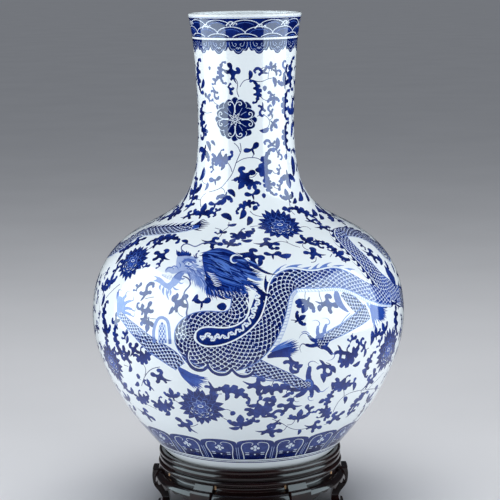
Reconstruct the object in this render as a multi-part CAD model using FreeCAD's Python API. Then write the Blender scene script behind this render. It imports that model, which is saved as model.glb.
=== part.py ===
"""Blue-and-white porcelain globular vase on a low dark-wood stand with six legs.

Origin on the floor at the centre of the stand, +Z up, front towards -Y.
Leg 1 points along +X, so the middle of an apron faces the front. Millimetres.
Every piece goes into its own file.
"""
import FreeCAD
import Part
import math
import os

V = FreeCAD.Vector
ORIGIN, Z_AXIS = V(0, 0, 0), V(0, 0, 1)
os.makedirs("parts", exist_ok=True)

# ------------------------------------------------------- driving dimensions
TOTAL_H = 625.0              # floor to the top of the lip
FOOT_OUT_R = 95.2            # outside radius of the vase's foot ring
FOOT_IN_R = 87.6             # inside radius of the foot ring
FOOT_Z = 63.5                # underside of the foot ring, just above the felt

FELT_T = 1.48                # felt ring under the vase
FELT_GAP = 0.02              # between the felt and the foot ring
SEAT_Z = FOOT_Z - FELT_T - FELT_GAP      # top of the seat panel
PANEL_T = 4.0
SEAT_BOTTOM_Z = SEAT_Z - PANEL_T         # underside of seat panel and seat ring
RING_IN_R = 107.9            # inside radius of the seat ring
PANEL_R = RING_IN_R - 0.2

WAIST_OUT_R = 111.0
WAIST_IN_R = 91.0
WAIST_H = 8.0
WAIST_Z = SEAT_BOTTOM_Z - WAIST_H        # underside of the waist ring

PAD_T = 2.0                  # felt pad under each foot
LEG_COUNT = 6
LEG_STEP = 360.0 / LEG_COUNT
LEG_ANGLES = [LEG_STEP * i for i in range(LEG_COUNT)]
JOINT_HALF_W = 14.0          # half width of a leg where the aprons meet it


# ------------------------------------------------------------------ helpers
def profile(radius, z):
    """Point of a revolved section, in the XZ plane."""
    return V(radius, 0, z)


def front(y, z):
    """Point of an outline in the YZ plane, seen along X."""
    return V(0, y, z)


def spline(points, place=profile):
    curve = Part.BSplineCurve()
    curve.interpolate(Points=[place(*p) for p in points])
    return curve


def line(start, end, place=profile):
    return Part.LineSegment(place(*start), place(*end)).toShape()


def chain(points):
    """Section edges through points; a third entry marks the middle of an arc."""
    edges = []
    i = 0
    while i < len(points) - 1:
        start, following = points[i], points[i + 1]
        if len(following) == 3:
            middle, end = following[:2], points[i + 2]
            edges.append(Part.Arc(profile(*start), profile(*middle), profile(*end)).toShape())
            i += 2
        else:
            edges.append(line(start, following))
            i += 1
    return edges


def flat_face(edges):
    return Part.Face(Part.Wire(Part.__sortEdges__(edges)))


def revolve(edges, angle=360.0, start=0.0):
    """Turn a section about Z through angle, starting at start degrees from +X."""
    face = flat_face(edges)
    if start:
        face.rotate(ORIGIN, Z_AXIS, start)
    shape = face.revolve(ORIGIN, Z_AXIS, angle)
    return shape if shape.ShapeType == "Solid" else Part.Solid(shape.Shells[0])


def single_solid(shape):
    """Unwrap a compound of one solid and turn an inside-out solid right way round."""
    if shape.ShapeType == "Compound" and len(shape.Solids) == 1:
        shape = shape.Solids[0]
    if shape.Volume < 0:
        shape.reverse()
    return shape


def polar(radius, degrees):
    angle = math.radians(degrees)
    return radius * math.cos(angle), radius * math.sin(angle)


def cylinder(radius, height, z, x=0, y=0):
    return Part.makeCylinder(radius, height, V(x, y, z))


def cone(bottom_r, top_r, height, z, x, y):
    return Part.makeCone(bottom_r, top_r, height, V(x, y, z))


def cylinders(places, radius, height, z):
    return Part.makeCompound([cylinder(radius, height, z, x, y) for x, y in places])


def save(name, shape):
    solids = shape.Solids
    assert solids, name
    for solid in solids:
        assert solid.isValid() and solid.Volume > 0, name
    piece = solids[0] if len(solids) == 1 else Part.makeCompound(solids)
    piece.exportStep("parts/%s.step" % name)


def save_turned(name, shape, angles):
    """Save one numbered copy of a piece at each angle about Z."""
    for number, angle in enumerate(angles, 1):
        copy = shape.copy()
        copy.rotate(ORIGIN, Z_AXIS, angle)
        save("%s_%d" % (name, number), copy)


# --------------------------------------------------------------------- vase
BASE_UNDER_Z = 71.5          # recessed underside of the base, at its edge
BASE_IN_Z = 80.5             # inside bottom
LIP_R = 69.6                 # radius where the lip roll starts
LIP_ROUND = 2.6              # half thickness of the lip roll

# Outside of the globe, shoulder and neck: (radius, z)
VASE_OUTSIDE = [
    (96.0, 69.6), (105.4, 77.6), (124.0, 98.4), (142.6, 121.6), (158.6, 144.6),
    (171.6, 167.8), (181.9, 190.6), (189.7, 213.4), (194.0, 235.4), (195.0, 252.6),
    (194.0, 270.8), (190.0, 292.6), (180.7, 315.2), (164.0, 337.6), (150.6, 349.2),
    (132.6, 360.6), (111.6, 371.8), (93.2, 383.2), (81.0, 394.6), (73.1, 406.2),
    (67.9, 418.0), (62.5, 440.2), (60.2, 463.0), (59.2, 496.6), (60.2, 531.0),
    (62.1, 565.0), (63.9, 588.0), (66.2, 606.0), (69.0, 620.4),
]
# Inside of the base, from the axis outwards: (radius, z)
VASE_FLOOR = [
    (0.0, BASE_IN_Z), (40.0, BASE_IN_Z + 0.4),
    (80.0, BASE_IN_Z + 3.4), (98.0, BASE_IN_Z + 9.0),
]
# Underside and foot ring, from the axis outwards: (radius, z)
VASE_UNDERSIDE = [
    (0.0, BASE_UNDER_Z - 0.8), (84.5, BASE_UNDER_Z),
    (86.8, BASE_UNDER_Z - 0.9, "mid"), (FOOT_IN_R, BASE_UNDER_Z - 3.0),
    (FOOT_IN_R + 0.6, FOOT_Z + 1.0),
    (FOOT_IN_R + 0.95, FOOT_Z + 0.3, "mid"), (FOOT_IN_R + 1.7, FOOT_Z),
    (FOOT_OUT_R - 1.4, FOOT_Z),
    (FOOT_OUT_R - 0.4, FOOT_Z + 0.4, "mid"), (FOOT_OUT_R, FOOT_Z + 1.4),
    VASE_OUTSIDE[0],
]
# Porcelain thickness, thick at the base and thinner in the neck: (z, thickness)
WALL_STATIONS = [
    (60, 8.5), (100, 7.4), (180, 6.2), (330, 5.6), (420, 5.2), (520, 4.8), (TOTAL_H, 4.6),
]
WALL_SAMPLES = 46
# Part of the outside curve that is offset inwards, as fractions of its parameter range
SAMPLE_START, SAMPLE_SPAN = 0.045, 0.945


def wall(z):
    """Porcelain thickness at a height, between the stations."""
    for (z_low, t_low), (z_high, t_high) in zip(WALL_STATIONS, WALL_STATIONS[1:]):
        if z <= z_high:
            return t_low + (t_high - t_low) * (z - z_low) / (z_high - z_low)


def inside_wall_points():
    """Outside curve moved inwards by the wall thickness, between base and lip."""
    curve = spline(VASE_OUTSIDE)
    first, last = curve.FirstParameter, curve.LastParameter
    points = []
    for i in range(WALL_SAMPLES):
        fraction = SAMPLE_START + SAMPLE_SPAN * i / (WALL_SAMPLES - 1)
        parameter = first + (last - first) * fraction
        outside = curve.value(parameter)
        # The curve always climbs, so this normal points towards the axis.
        tangent = curve.tangent(parameter)[0]
        inside = outside + V(-tangent.z, 0, tangent.x) * wall(outside.z)
        # Leave room for the floor points below and the lip above.
        if 90.0 < inside.z < 612.0 and (inside.x > 100.0 or inside.z > 300.0):
            points.append((inside.x, inside.z))
    return points


def vase_body():
    lip_out = (LIP_R, TOTAL_H - LIP_ROUND)
    lip_top = (LIP_R - LIP_ROUND, TOTAL_H, "mid")
    lip_in = (LIP_R - 2 * LIP_ROUND, TOTAL_H - LIP_ROUND - 0.4)
    edges = (
        chain(VASE_UNDERSIDE)
        + [spline(VASE_OUTSIDE + [lip_out]).toShape()]
        + chain([lip_out, lip_top, lip_in])
        + [spline(VASE_FLOOR + inside_wall_points() + [lip_in]).toShape()]
        + chain([VASE_FLOOR[0], VASE_UNDERSIDE[0]])
    )
    return single_solid(revolve(edges))


save("vase_body", vase_body())


# ----------------------------------------------------------- seat felt ring
def seat_felt_ring():
    disc = cylinder(FOOT_OUT_R + 3.0, FELT_T, SEAT_Z)
    return single_solid(disc.cut(cylinder(FOOT_IN_R - 4.0, FELT_T + 2, SEAT_Z - 1)))


save("seat_felt_ring", seat_felt_ring())

# ------------------------------------ seat ring: curved segments and dowels
SEGMENT_COUNT = 4
SEGMENT_ANGLE = 360.0 / SEGMENT_COUNT
FIRST_SEAM = 45.0            # degrees from +X
DOWEL_R = 1.5
DOWEL_CIRCLE_R = 109.45
DOWEL_OFFSETS = (22.0, 68.0)     # degrees from the start of each segment
DOWEL_L = 12.6
DOWEL_DROP = 6.0             # length of dowel below the seat ring
DOWEL_HOLE_R = DOWEL_R + 0.02

# Moulded section, from the inside bottom corner: (radius, z)
RING_SECTION = [
    (RING_IN_R, SEAT_BOTTOM_Z), (RING_IN_R, 76.6),
    (108.9, 78.7, "mid"), (111.2, 79.5),
    (115.6, 76.8, "mid"), (113.7, 73.3),
    (113.5, 72.8),
    (115.3, 69.2, "mid"), (114.1, 65.7),
    (112.7, 65.3), (112.7, 64.5), (114.9, 64.2),
    (116.7, 62.0, "mid"), (115.6, 59.4),
    (113.6, 58.4), (113.0, SEAT_BOTTOM_Z), (RING_IN_R, SEAT_BOTTOM_Z),
]


def segment_start(index):
    return FIRST_SEAM + index * SEGMENT_ANGLE


def segment_dowels(index):
    return [polar(DOWEL_CIRCLE_R, segment_start(index) + offset) for offset in DOWEL_OFFSETS]


def ring_segment(index):
    segment = revolve(chain(RING_SECTION), SEGMENT_ANGLE, segment_start(index))
    for x, y in segment_dowels(index):
        segment = segment.cut(cylinder(DOWEL_HOLE_R, 8.1, SEAT_BOTTOM_Z - 1, x, y))
    return single_solid(segment)


for i in range(SEGMENT_COUNT):
    save("seat_ring_segment_%d" % (i + 1), ring_segment(i))

DOWELS = [place for i in range(SEGMENT_COUNT) for place in segment_dowels(i)]
save("seat_ring_dowels", cylinders(DOWELS, DOWEL_R, DOWEL_L, SEAT_BOTTOM_Z - DOWEL_DROP))

# ------------------------------------------------------------------- screws
HEAD_SINK = 0.1              # screw heads sit this far below the wood

# Leg screws go down through the waist ring into the legs.
LEG_SCREW_CIRCLE_R = 101.5
LEG_SCREW_R = 1.75
LEG_SCREW_HEAD_R = 3.6
LEG_SCREW_HEAD_H = 2.2
LEG_SCREW_SHANK_L = 20.0     # top of the head to the start of the tip
LEG_SCREW_TIP_L = 2.5
LEG_SCREWS = [polar(LEG_SCREW_CIRCLE_R, angle) for angle in LEG_ANGLES]

# Four small screws come up through the waist ring and hold the seat panel.
PANEL_SCREW_R = 1.3
PANEL_SCREW_HEAD_R = 2.7
PANEL_SCREW_HEAD_H = 1.7
PANEL_SCREW_L = 10.6         # overall
PANEL_SCREW_TIP_L = 1.5
PANEL_SCREW_HOLE_R = PANEL_SCREW_R + 0.04
PANEL_SCREWS = [polar(96.0, angle) for angle in (45.0, 135.0, 225.0, 315.0)]


def slotted_screw(shank, tip, head, slot):
    return single_solid(shank.fuse([tip, head]).cut(slot).removeSplitter())


def slot_box(x, y, z, head_r, width, depth):
    """Cutter for a screw slot along X, a little longer than the head is wide."""
    return Part.makeBox(2 * head_r + 1, width, depth, V(x - head_r - 0.5, y - width / 2, z))


def leg_screw(x, y):
    head_z = SEAT_BOTTOM_Z - HEAD_SINK
    tip_top_z = head_z - LEG_SCREW_SHANK_L
    return slotted_screw(
        cylinder(LEG_SCREW_R, LEG_SCREW_SHANK_L, tip_top_z, x, y),
        cone(0.2, LEG_SCREW_R, LEG_SCREW_TIP_L, tip_top_z - LEG_SCREW_TIP_L, x, y),
        cone(LEG_SCREW_R, LEG_SCREW_HEAD_R, LEG_SCREW_HEAD_H, head_z - LEG_SCREW_HEAD_H, x, y),
        slot_box(x, y, head_z - 0.8, LEG_SCREW_HEAD_R, width=0.8, depth=1.0))


def panel_screw(x, y):
    head_z = WAIST_Z + HEAD_SINK
    shank_l = PANEL_SCREW_L - PANEL_SCREW_TIP_L
    return slotted_screw(
        cylinder(PANEL_SCREW_R, shank_l, head_z, x, y),
        cone(PANEL_SCREW_R, 0.2, PANEL_SCREW_TIP_L, head_z + shank_l, x, y),
        cone(PANEL_SCREW_HEAD_R, PANEL_SCREW_R, PANEL_SCREW_HEAD_H, head_z, x, y),
        slot_box(x, y, head_z, PANEL_SCREW_HEAD_R, width=0.6, depth=0.8))


save("leg_screws", Part.makeCompound([leg_screw(x, y) for x, y in LEG_SCREWS]))
save("panel_screws", Part.makeCompound([panel_screw(x, y) for x, y in PANEL_SCREWS]))


# --------------------------------------------------------------- seat panel
def seat_panel():
    panel = cylinder(PANEL_R, PANEL_T, SEAT_BOTTOM_Z)
    rim_length = 2 * math.pi * PANEL_R
    panel = panel.makeChamfer(0.4, [e for e in panel.Edges if abs(e.Length - rim_length) < 0.5])
    for x, y in PANEL_SCREWS:
        panel = panel.cut(cylinder(PANEL_SCREW_HOLE_R, 3.2, SEAT_BOTTOM_Z - 0.5, x, y))
    return single_solid(panel)


save("seat_panel", seat_panel())

# --------------------------------------------------------------- waist ring
GROOVE_MARGIN = 1.1          # flat band above and below the hollow in the outer face
GROOVE_DEPTH = 1.4
HEAD_GAP = 0.15              # countersink radius beyond the screw head
WAIST_SECTION = [            # (radius, z)
    (WAIST_IN_R, WAIST_Z), (WAIST_IN_R, SEAT_BOTTOM_Z), (WAIST_OUT_R, SEAT_BOTTOM_Z),
    (WAIST_OUT_R, SEAT_BOTTOM_Z - GROOVE_MARGIN),
    (WAIST_OUT_R - GROOVE_DEPTH, WAIST_Z + WAIST_H / 2, "mid"),
    (WAIST_OUT_R, WAIST_Z + GROOVE_MARGIN),
    (WAIST_OUT_R, WAIST_Z), (WAIST_IN_R, WAIST_Z),
]


def waist_ring():
    ring = revolve(chain(WAIST_SECTION))
    ring = ring.cut(cylinders(DOWELS, DOWEL_HOLE_R, 7.0, SEAT_BOTTOM_Z - DOWEL_DROP - 0.05))
    # panel screws, countersunk from below
    sink_h = PANEL_SCREW_HEAD_H + HEAD_SINK
    for x, y in PANEL_SCREWS:
        ring = ring.cut(cylinder(PANEL_SCREW_HOLE_R, 12, WAIST_Z - 1, x, y))
        ring = ring.cut(
            cone(PANEL_SCREW_HEAD_R + HEAD_GAP, PANEL_SCREW_HOLE_R, sink_h, WAIST_Z, x, y))
    # leg screws, countersunk from above
    hole_r = LEG_SCREW_R + 0.05
    sink_h = LEG_SCREW_HEAD_H + HEAD_SINK
    for x, y in LEG_SCREWS:
        ring = ring.cut(cylinder(hole_r, 12, WAIST_Z - 1, x, y))
        ring = ring.cut(
            cone(hole_r, LEG_SCREW_HEAD_R + HEAD_GAP, sink_h, SEAT_BOTTOM_Z - sink_h, x, y))
    return single_solid(ring)


save("waist_ring", waist_ring())

# --------------------------------------------------------------------- legs
LEG_BACK_R = WAIST_OUT_R + 0.05      # back of the leg's top, clear of the waist ring
LEG_SWEEP = 24.0             # degrees revolved before the leg is cut to its outline

LEG_COLLAR = [               # face in front of the waist ring, downwards: (radius, z)
    (114.0, SEAT_BOTTOM_Z), (114.7, 55.4), (116.6, 52.4), (117.6, 50.8),
]
LEG_OUTSIDE = [              # from the shoulder down to the toe: (radius, z)
    (124.4, WAIST_Z), (125.2, 45.5), (125.2, 40.0), (124.2, 33.0), (121.4, 26.2),
    (117.2, 20.0), (113.9, 14.4), (113.0, 10.2), (114.6, 6.6), (118.2, 4.8),
]
LEG_INSIDE = [               # from the toe up: (radius, z)
    (104.6, PAD_T), (103.6, 8.0), (104.2, 15.0), (106.6, 23.0), (107.2, 30.0),
    (104.0, 37.0), (97.5, 43.0),
]
# Front outline, drum knee, slim ankle and spread toe: (half width, z)
LEG_TOP_HALF = [(12.6, SEAT_BOTTOM_Z), (13.0, 52.0), (JOINT_HALF_W, WAIST_Z), (JOINT_HALF_W, 34.6)]
KNEE_HALF = [LEG_TOP_HALF[-1], (13.2, 32.8), (11.2, 31.6), (11.6, 29.4)]
SHANK_HALF = [
    KNEE_HALF[-1], (10.4, 27.0), (8.2, 23.4), (7.0, 18.6), (6.7, 14.0),
    (7.4, 10.0), (9.4, 7.2), (11.2, 5.4), (11.4, 3.4), (10.8, PAD_T),
]


def across(point):
    """Straight edge from an outline point to its mirror image."""
    half_width, z = point
    return line((half_width, z), (-half_width, z), front)


def leg_outline():
    right = [line(a, b, front) for a, b in zip(LEG_TOP_HALF, LEG_TOP_HALF[1:])]
    right += [spline(points, front).toShape() for points in (KNEE_HALF, SHANK_HALF)]
    left = [edge.mirror(ORIGIN, V(0, 1, 0)) for edge in right]
    return flat_face(right + left + [across(LEG_TOP_HALF[0]), across(SHANK_HALF[-1])])


def soften_front(leg):
    """Round the long front edges below the joint."""
    rim = [
        e for e in leg.Edges
        if e.BoundBox.XMin > 108.0 and e.BoundBox.ZMax < 34.7
        and e.BoundBox.ZMin > PAD_T + 0.01 and e.BoundBox.ZLength > 2.0
        and abs(e.CenterOfMass.y) > 5.0
    ]
    for radius in (1.0, 0.7, 0.4):
        # The fillet can fail on the tight curves; then the next smaller radius is
        # tried, and the edges stay sharp if none works.
        try:
            rounded = leg.makeFillet(radius, rim)
            if rounded.isValid() and rounded.Volume > 0:
                return single_solid(rounded)
        except Exception:
            continue
    return leg


def leg():
    """Leg along +X, with the pilot hole for its screw."""
    edges = (
        chain([(LEG_BACK_R, SEAT_BOTTOM_Z), LEG_COLLAR[0]])
        + [spline(LEG_COLLAR).toShape()]
        + chain([LEG_COLLAR[-1], (122.6, 50.8), (123.8, 50.6, "mid"), LEG_OUTSIDE[0]])
        + [spline(LEG_OUTSIDE).toShape()]
        + chain([LEG_OUTSIDE[-1], (119.4, 3.6, "mid"), (118.4, PAD_T), LEG_INSIDE[0]])
        + [spline(LEG_INSIDE).toShape()]
        + chain([LEG_INSIDE[-1], (LEG_INSIDE[-1][0], WAIST_Z), (LEG_BACK_R, WAIST_Z),
                 (LEG_BACK_R, SEAT_BOTTOM_Z)])
    )
    body = revolve(edges, LEG_SWEEP, -LEG_SWEEP / 2)
    shape = soften_front(single_solid(body.common(leg_outline().extrude(V(140, 0, 0)))))
    # straight bore, with a cone for the screw tip lying within it
    bore_r = LEG_SCREW_R + 0.02
    shape = shape.cut(cylinder(bore_r, 16.0, 34.9, LEG_SCREW_CIRCLE_R))
    return single_solid(shape.cut(cone(0.25, bore_r, 2.6, 35.25, LEG_SCREW_CIRCLE_R, 0)))


save_turned("leg", leg(), LEG_ANGLES)

# ------------------------------------------------------------------- aprons
APRON_OUTSIDE = [            # downwards: (radius, z)
    (112.6, WAIST_Z), (115.4, 49.4), (119.6, 47.2), (121.6, 43.6),
    (122.2, 39.6), (121.6, 34.0), (120.6, 31.0),
]
APRON_BACK = [(112.0, 31.0), (109.0, 44.0), (107.0, WAIST_Z)]    # upwards: (radius, z)
# Cusped lower edge, one curve per row, from the end to the middle: (half width, z)
APRON_CUSPS = [
    [(49.0, 34.9), (43.6, 35.6), (38.0, 37.6), (33.0, 41.0), (28.6, 43.0)],
    [(28.6, 43.0), (25.6, 40.6), (21.6, 39.8), (17.6, 41.0), (14.0, 43.4)],
    [(14.0, 43.4), (9.0, 42.2), (4.6, 40.6), (0.0, 38.2)],
]
# Rest of the cutter's outline, round below the apron: (y, z)
CUTTER_FRAME = [(49.0, 34.9), (62.0, 34.9), (62.0, 10.0), (-62.0, 10.0), (-62.0, 34.9), (-49.0, 34.9)]


def lower_edge_cutter():
    edges = []
    for cusp in APRON_CUSPS:
        for side in (1, -1):
            edges.append(spline([(side * w, z) for w, z in cusp], front).toShape())
    edges += [line(a, b, front) for a, b in zip(CUTTER_FRAME, CUTTER_FRAME[1:])]
    return flat_face(edges).extrude(V(160, 0, 0))


def apron():
    """Apron centred on +X, trimmed to the side planes of the legs beside it."""
    section = [spline(APRON_OUTSIDE).toShape()]
    section += chain([APRON_OUTSIDE[-1]] + APRON_BACK + [APRON_OUTSIDE[0]])
    body = revolve(section, LEG_STEP, -LEG_STEP / 2)
    box_w = 100
    leg_side = JOINT_HALF_W + 0.02
    for side in (1, -1):
        box_y = -leg_side if side > 0 else leg_side - box_w
        box = Part.makeBox(200, box_w, 80, V(0, box_y, 0))
        box.rotate(ORIGIN, Z_AXIS, side * LEG_STEP / 2)
        body = body.cut(box)
    return single_solid(body.cut(lower_edge_cutter()))


save_turned("apron", apron(), [angle + LEG_STEP / 2 for angle in LEG_ANGLES])

# ---------------------------------------------------------------- felt feet
PAD_R = 5.5
PAD_CIRCLE_R = 111.5
PADS = [polar(PAD_CIRCLE_R, angle) for angle in LEG_ANGLES]
save("felt_foot_pads", cylinders(PADS, PAD_R, PAD_T, 0))
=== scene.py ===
"""Globular porcelain vase painted in cobalt blue, on a round rosewood stand with six legs.

The axis of the vase is Z and the floor is z = 0. The camera stands on the -Y side, so the
front of the vase faces -Y, and left and right are -X and +X. Outlines, painting and turned
profiles are in millimetres; the meshes, lights and camera are in metres.
"""
import math

import bpy
import numpy as np
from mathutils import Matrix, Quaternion, Vector, geometry


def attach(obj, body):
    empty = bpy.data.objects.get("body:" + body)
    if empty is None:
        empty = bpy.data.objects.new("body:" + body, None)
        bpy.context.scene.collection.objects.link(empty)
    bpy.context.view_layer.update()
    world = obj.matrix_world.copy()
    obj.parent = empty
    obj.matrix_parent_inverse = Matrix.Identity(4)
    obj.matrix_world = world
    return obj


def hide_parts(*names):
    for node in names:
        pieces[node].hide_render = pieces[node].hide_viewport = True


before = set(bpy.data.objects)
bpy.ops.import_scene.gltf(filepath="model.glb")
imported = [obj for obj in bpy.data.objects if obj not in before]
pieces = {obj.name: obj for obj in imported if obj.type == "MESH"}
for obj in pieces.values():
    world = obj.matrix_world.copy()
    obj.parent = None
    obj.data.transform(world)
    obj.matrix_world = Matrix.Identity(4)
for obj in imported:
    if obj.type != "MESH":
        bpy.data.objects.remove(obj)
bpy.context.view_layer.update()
rnd = np.random.RandomState(7)


# ----------------------------------------------------------------------------
# Curves
# ----------------------------------------------------------------------------
def points(table):
    """Array from a text table "x,y x,y ..."; any other table becomes an array as it is."""
    if isinstance(table, str):
        table = [[float(value) for value in row.split(",")] for row in table.split()]
    return np.array(table, float)


def cubic(table, count):
    """Natural cubic through the points, by chord length, sampled count times."""
    p = points(table)
    m = len(p)
    if m == 2:
        u = np.linspace(0, 1, count)[:, None]
        return p[0] * (1 - u) + p[1] * u
    knots = np.concatenate([[0], np.cumsum(np.linalg.norm(np.diff(p, axis=0), axis=1))])
    h = np.diff(knots)
    system = np.zeros((m, m))
    right = np.zeros_like(p)
    system[0, 0] = system[-1, -1] = 1
    for i in range(1, m - 1):
        system[i, i - 1:i + 2] = h[i - 1], 2 * (h[i - 1] + h[i]), h[i]
        right[i] = 6 * ((p[i + 1] - p[i]) / h[i] - (p[i] - p[i - 1]) / h[i - 1])
    bend = np.linalg.solve(system, right)
    u = np.linspace(0, knots[-1], count)
    i = np.clip(np.searchsorted(knots, u, side="right") - 1, 0, m - 2)
    gap = h[i][:, None]
    past = (u - knots[i])[:, None]
    left = (knots[i + 1] - u)[:, None]
    return ((bend[i] * left ** 3 + bend[i + 1] * past ** 3) / (6 * gap)
            + (p[i] / gap - bend[i] * gap / 6) * left
            + (p[i + 1] / gap - bend[i + 1] * gap / 6) * past)


def closed(table):
    """Smooth closed outline through the points, four steps to a side."""
    p = points(table)
    n = len(p)
    outline = []
    for i in range(n):
        a, b, c, e = p[i - 1], p[i], p[(i + 1) % n], p[(i + 2) % n]
        for t in np.arange(4) / 4:
            outline.append(0.5 * (2 * b + (c - a) * t + (2 * a - 5 * b + 4 * c - e) * t * t
                                  + (3 * b - a - 3 * c + e) * t ** 3))
    return np.array(outline)


def rotation(angle):
    c, s = math.cos(angle), math.sin(angle)
    return np.array([[c, s], [-s, c]])


def swell(count, thin, full, power=1.0, bulge=0.5):
    """Half widths of a brush stroke: thin, full, thin, fullest at the fraction bulge."""
    t = np.linspace(0, 1, count)
    rise = np.where(t < bulge, t / bulge, (1 - t) / (1 - bulge))
    return thin + (full - thin) * np.sin(rise * math.pi / 2) ** power


def sides(center, left, right):
    """The two edges of a stroke along a curve in a flat plane."""
    c = np.asarray(center, float)
    left, right = np.broadcast_to(left, len(c)), np.broadcast_to(right, len(c))
    d = np.gradient(c, axis=0)
    d /= np.maximum(np.linalg.norm(d, axis=1, keepdims=True), 1e-9)
    normal = np.column_stack([-d[:, 1], d[:, 0]])
    return c + normal * left[:, None], c - normal * right[:, None]


# ----------------------------------------------------------------------------
# The outer wall. A place on it is (angle about the axis, arc length s up the
# wall); angle 0 faces -Y and grows towards +X.
# ----------------------------------------------------------------------------
# (radius, height), from the foot to the lip
OUTER_WALL = points("""
    96,69.6 105.4,77.6 124,98.4 142.6,121.6 158.6,144.6 171.6,167.8 181.9,190.6 189.7,213.4
    194,235.4 195,252.6 194,270.8 190,292.6 180.7,315.2 164,337.6 150.6,349.2 132.6,360.6
    111.6,371.8 93.2,383.2 81,394.6 73.1,406.2 67.9,418 62.5,440.2 60.2,463 59.2,496.6
    60.2,531 62.1,565 63.9,588 66.2,606 69,620.4 69.6,622.4""")
WALL = cubic(OUTER_WALL, 1600)
WALL_ARC = np.concatenate([[0], np.cumsum(np.linalg.norm(np.diff(WALL, axis=0), axis=1))])
WALL_LENGTH = WALL_ARC[-1]
UNROLL_RADIUS = 195.0   # the wall is unrolled at the radius of the belly


def radius(s):
    return np.interp(s, WALL_ARC, WALL[:, 0])


def arc(z):
    return np.interp(z, WALL[:, 1], WALL_ARC)


# Most of the painting is drawn on a flat sheet, x to the right and y down, and thrown on
# the wall from the camera's place.
CAMERA_BACK, CAMERA_HEIGHT = 2026.82, 685.38
CAMERA_PITCH, CAMERA_ROLL = 0.1733, 0.0118
SHEET_WIDTH = 500.0
SHEET_DISTANCE = 1644.75        # from the camera, in sheet units
SHEET_X, SHEET_Y = 247.58, 250.0    # where the camera axis meets the sheet
DRAWN_WIDTH = 1.145             # mm of ribbon width for each sheet unit


def outside(across, rise, y):
    """How far outside the wall each sight line is at the depth y."""
    reach = y + CAMERA_BACK
    z = CAMERA_HEIGHT + rise * reach
    return np.hypot(across * reach, y) - np.interp(z, WALL[:, 1], WALL[:, 0])


def project(table):
    """Sheet points to places on the wall, where their sight lines first meet it."""
    p = points(table)
    dx, dy = p[:, 0] - SHEET_X, p[:, 1] - SHEET_Y
    x = dx * math.cos(CAMERA_ROLL) - dy * math.sin(CAMERA_ROLL)
    y = dx * math.sin(CAMERA_ROLL) + dy * math.cos(CAMERA_ROLL)
    up = -y / SHEET_DISTANCE
    forward = math.cos(CAMERA_PITCH) + up * math.sin(CAMERA_PITCH)
    across = x / SHEET_DISTANCE / forward
    rise = (-math.sin(CAMERA_PITCH) + up * math.cos(CAMERA_PITCH)) / forward
    # step inwards for the first crossing, then halve the step it lies in
    depths = np.linspace(-206.0, 30.0, 90)
    gaps = outside(across[:, None], rise[:, None], depths[None, :])
    hit = gaps <= 0
    meets = hit.any(1)
    first = np.where(meets, hit.argmax(1), gaps.argmin(1))
    low, high = depths[np.maximum(first - 1, 0)], depths[first]
    for _ in range(22):
        middle = (low + high) / 2
        inside = outside(across, rise, middle) <= 0
        high = np.where(inside, middle, high)
        low = np.where(inside, low, middle)
    depth = np.where(meets, high, depths[first])
    reach = depth + CAMERA_BACK
    return np.column_stack([np.arctan2(across * reach, -depth),
                            arc(CAMERA_HEIGHT + rise * reach)])


# ----------------------------------------------------------------------------
# Painting tools. A tone is (density of the cobalt, 0 blue to 1 grey-blue).
# ----------------------------------------------------------------------------
# Paler, greyer tones in the parts that the softboxes wash, left and right, and low on the belly where
# the floor reflects, are partly painted reflection of the glaze.
shapes = []     # (outline on the wall, tone, end tone, start, end), later ones on top


def paint(outline, tone, end_tone=None, start=None, end=None):
    """Adds a closed shape; the tone may grade from start to end."""
    if end_tone is None:
        end_tone, start, end = tone, (0.0, 0.0), (1.0, 0.0)
    shapes.append((np.asarray(outline, float), (*tone, *end_tone, *start, *end)))


def mix(a, b, t):
    return tuple(x * (1 - t) + y * t for x, y in zip(a, b))


def leaf_tones(density, grey):
    return (density, grey), (0.86 * density, grey)


def paint_strip(left, right, tone, end_tone=None):
    """A row of quads between two edges on the wall."""
    t = np.linspace(0, 1, len(left))
    for i in range(len(left) - 1):
        quad = [left[i], right[i], right[i + 1], left[i + 1]]
        if end_tone is None:
            paint(quad, tone)
        else:
            paint(quad, mix(tone, end_tone, t[i]), mix(tone, end_tone, t[i + 1]),
                  (left[i] + right[i]) / 2, (left[i + 1] + right[i + 1]) / 2)


def wall_line(path, half, tone):
    """A line of the given half width along a path on the wall."""
    path = np.asarray(path, float)
    r = radius(path[:, 1])
    d = np.gradient(path, axis=0)
    d[:, 0] *= r
    d /= np.maximum(np.linalg.norm(d, axis=1, keepdims=True), 1e-9)
    half = np.broadcast_to(half, len(path))
    offset = np.column_stack([-d[:, 1] * half / r, d[:, 0] * half])
    paint_strip(path + offset, path - offset, tone)


class Pen:
    """Draws in a flat plane that to_wall carries to the wall."""

    def __init__(self, to_wall):
        self.to_wall = to_wall

    def fill(self, outline, tone, end_tone=None, start=None, end=None):
        if end_tone is not None:
            start, end = self.to_wall([start, end])
        paint(self.to_wall(outline), tone, end_tone, start, end)

    def band(self, center, half, tone, end_tone=None, right=None):
        left, right = sides(center, half, half if right is None else right)
        paint_strip(self.to_wall(left), self.to_wall(right), tone, end_tone)

    def stroke(self, path, full, tone, end_tone=None, n=14, bulge=0.5, thin=0.0):
        """A swelling brush stroke; full and thin are half widths."""
        self.band(cubic(path, n), swell(n, thin, full, bulge=bulge), tone, end_tone)

    def line(self, path, half, tone, n=24):
        self.band(cubic(path, n), half, tone)

    def solid(self, center, half, tone, end_tone):
        """A stroke as one shape, graded from its start to its end."""
        left, right = sides(center, half, half)
        self.fill(np.vstack([left, right[::-1]]), tone, end_tone, center[0], center[-1])

    def blob(self, x, y, r, tone, n=12):
        a = np.linspace(0, 2 * math.pi, n, endpoint=False)
        self.fill(np.column_stack([x + r * np.cos(a), y + r * np.sin(a)]), tone)


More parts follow.
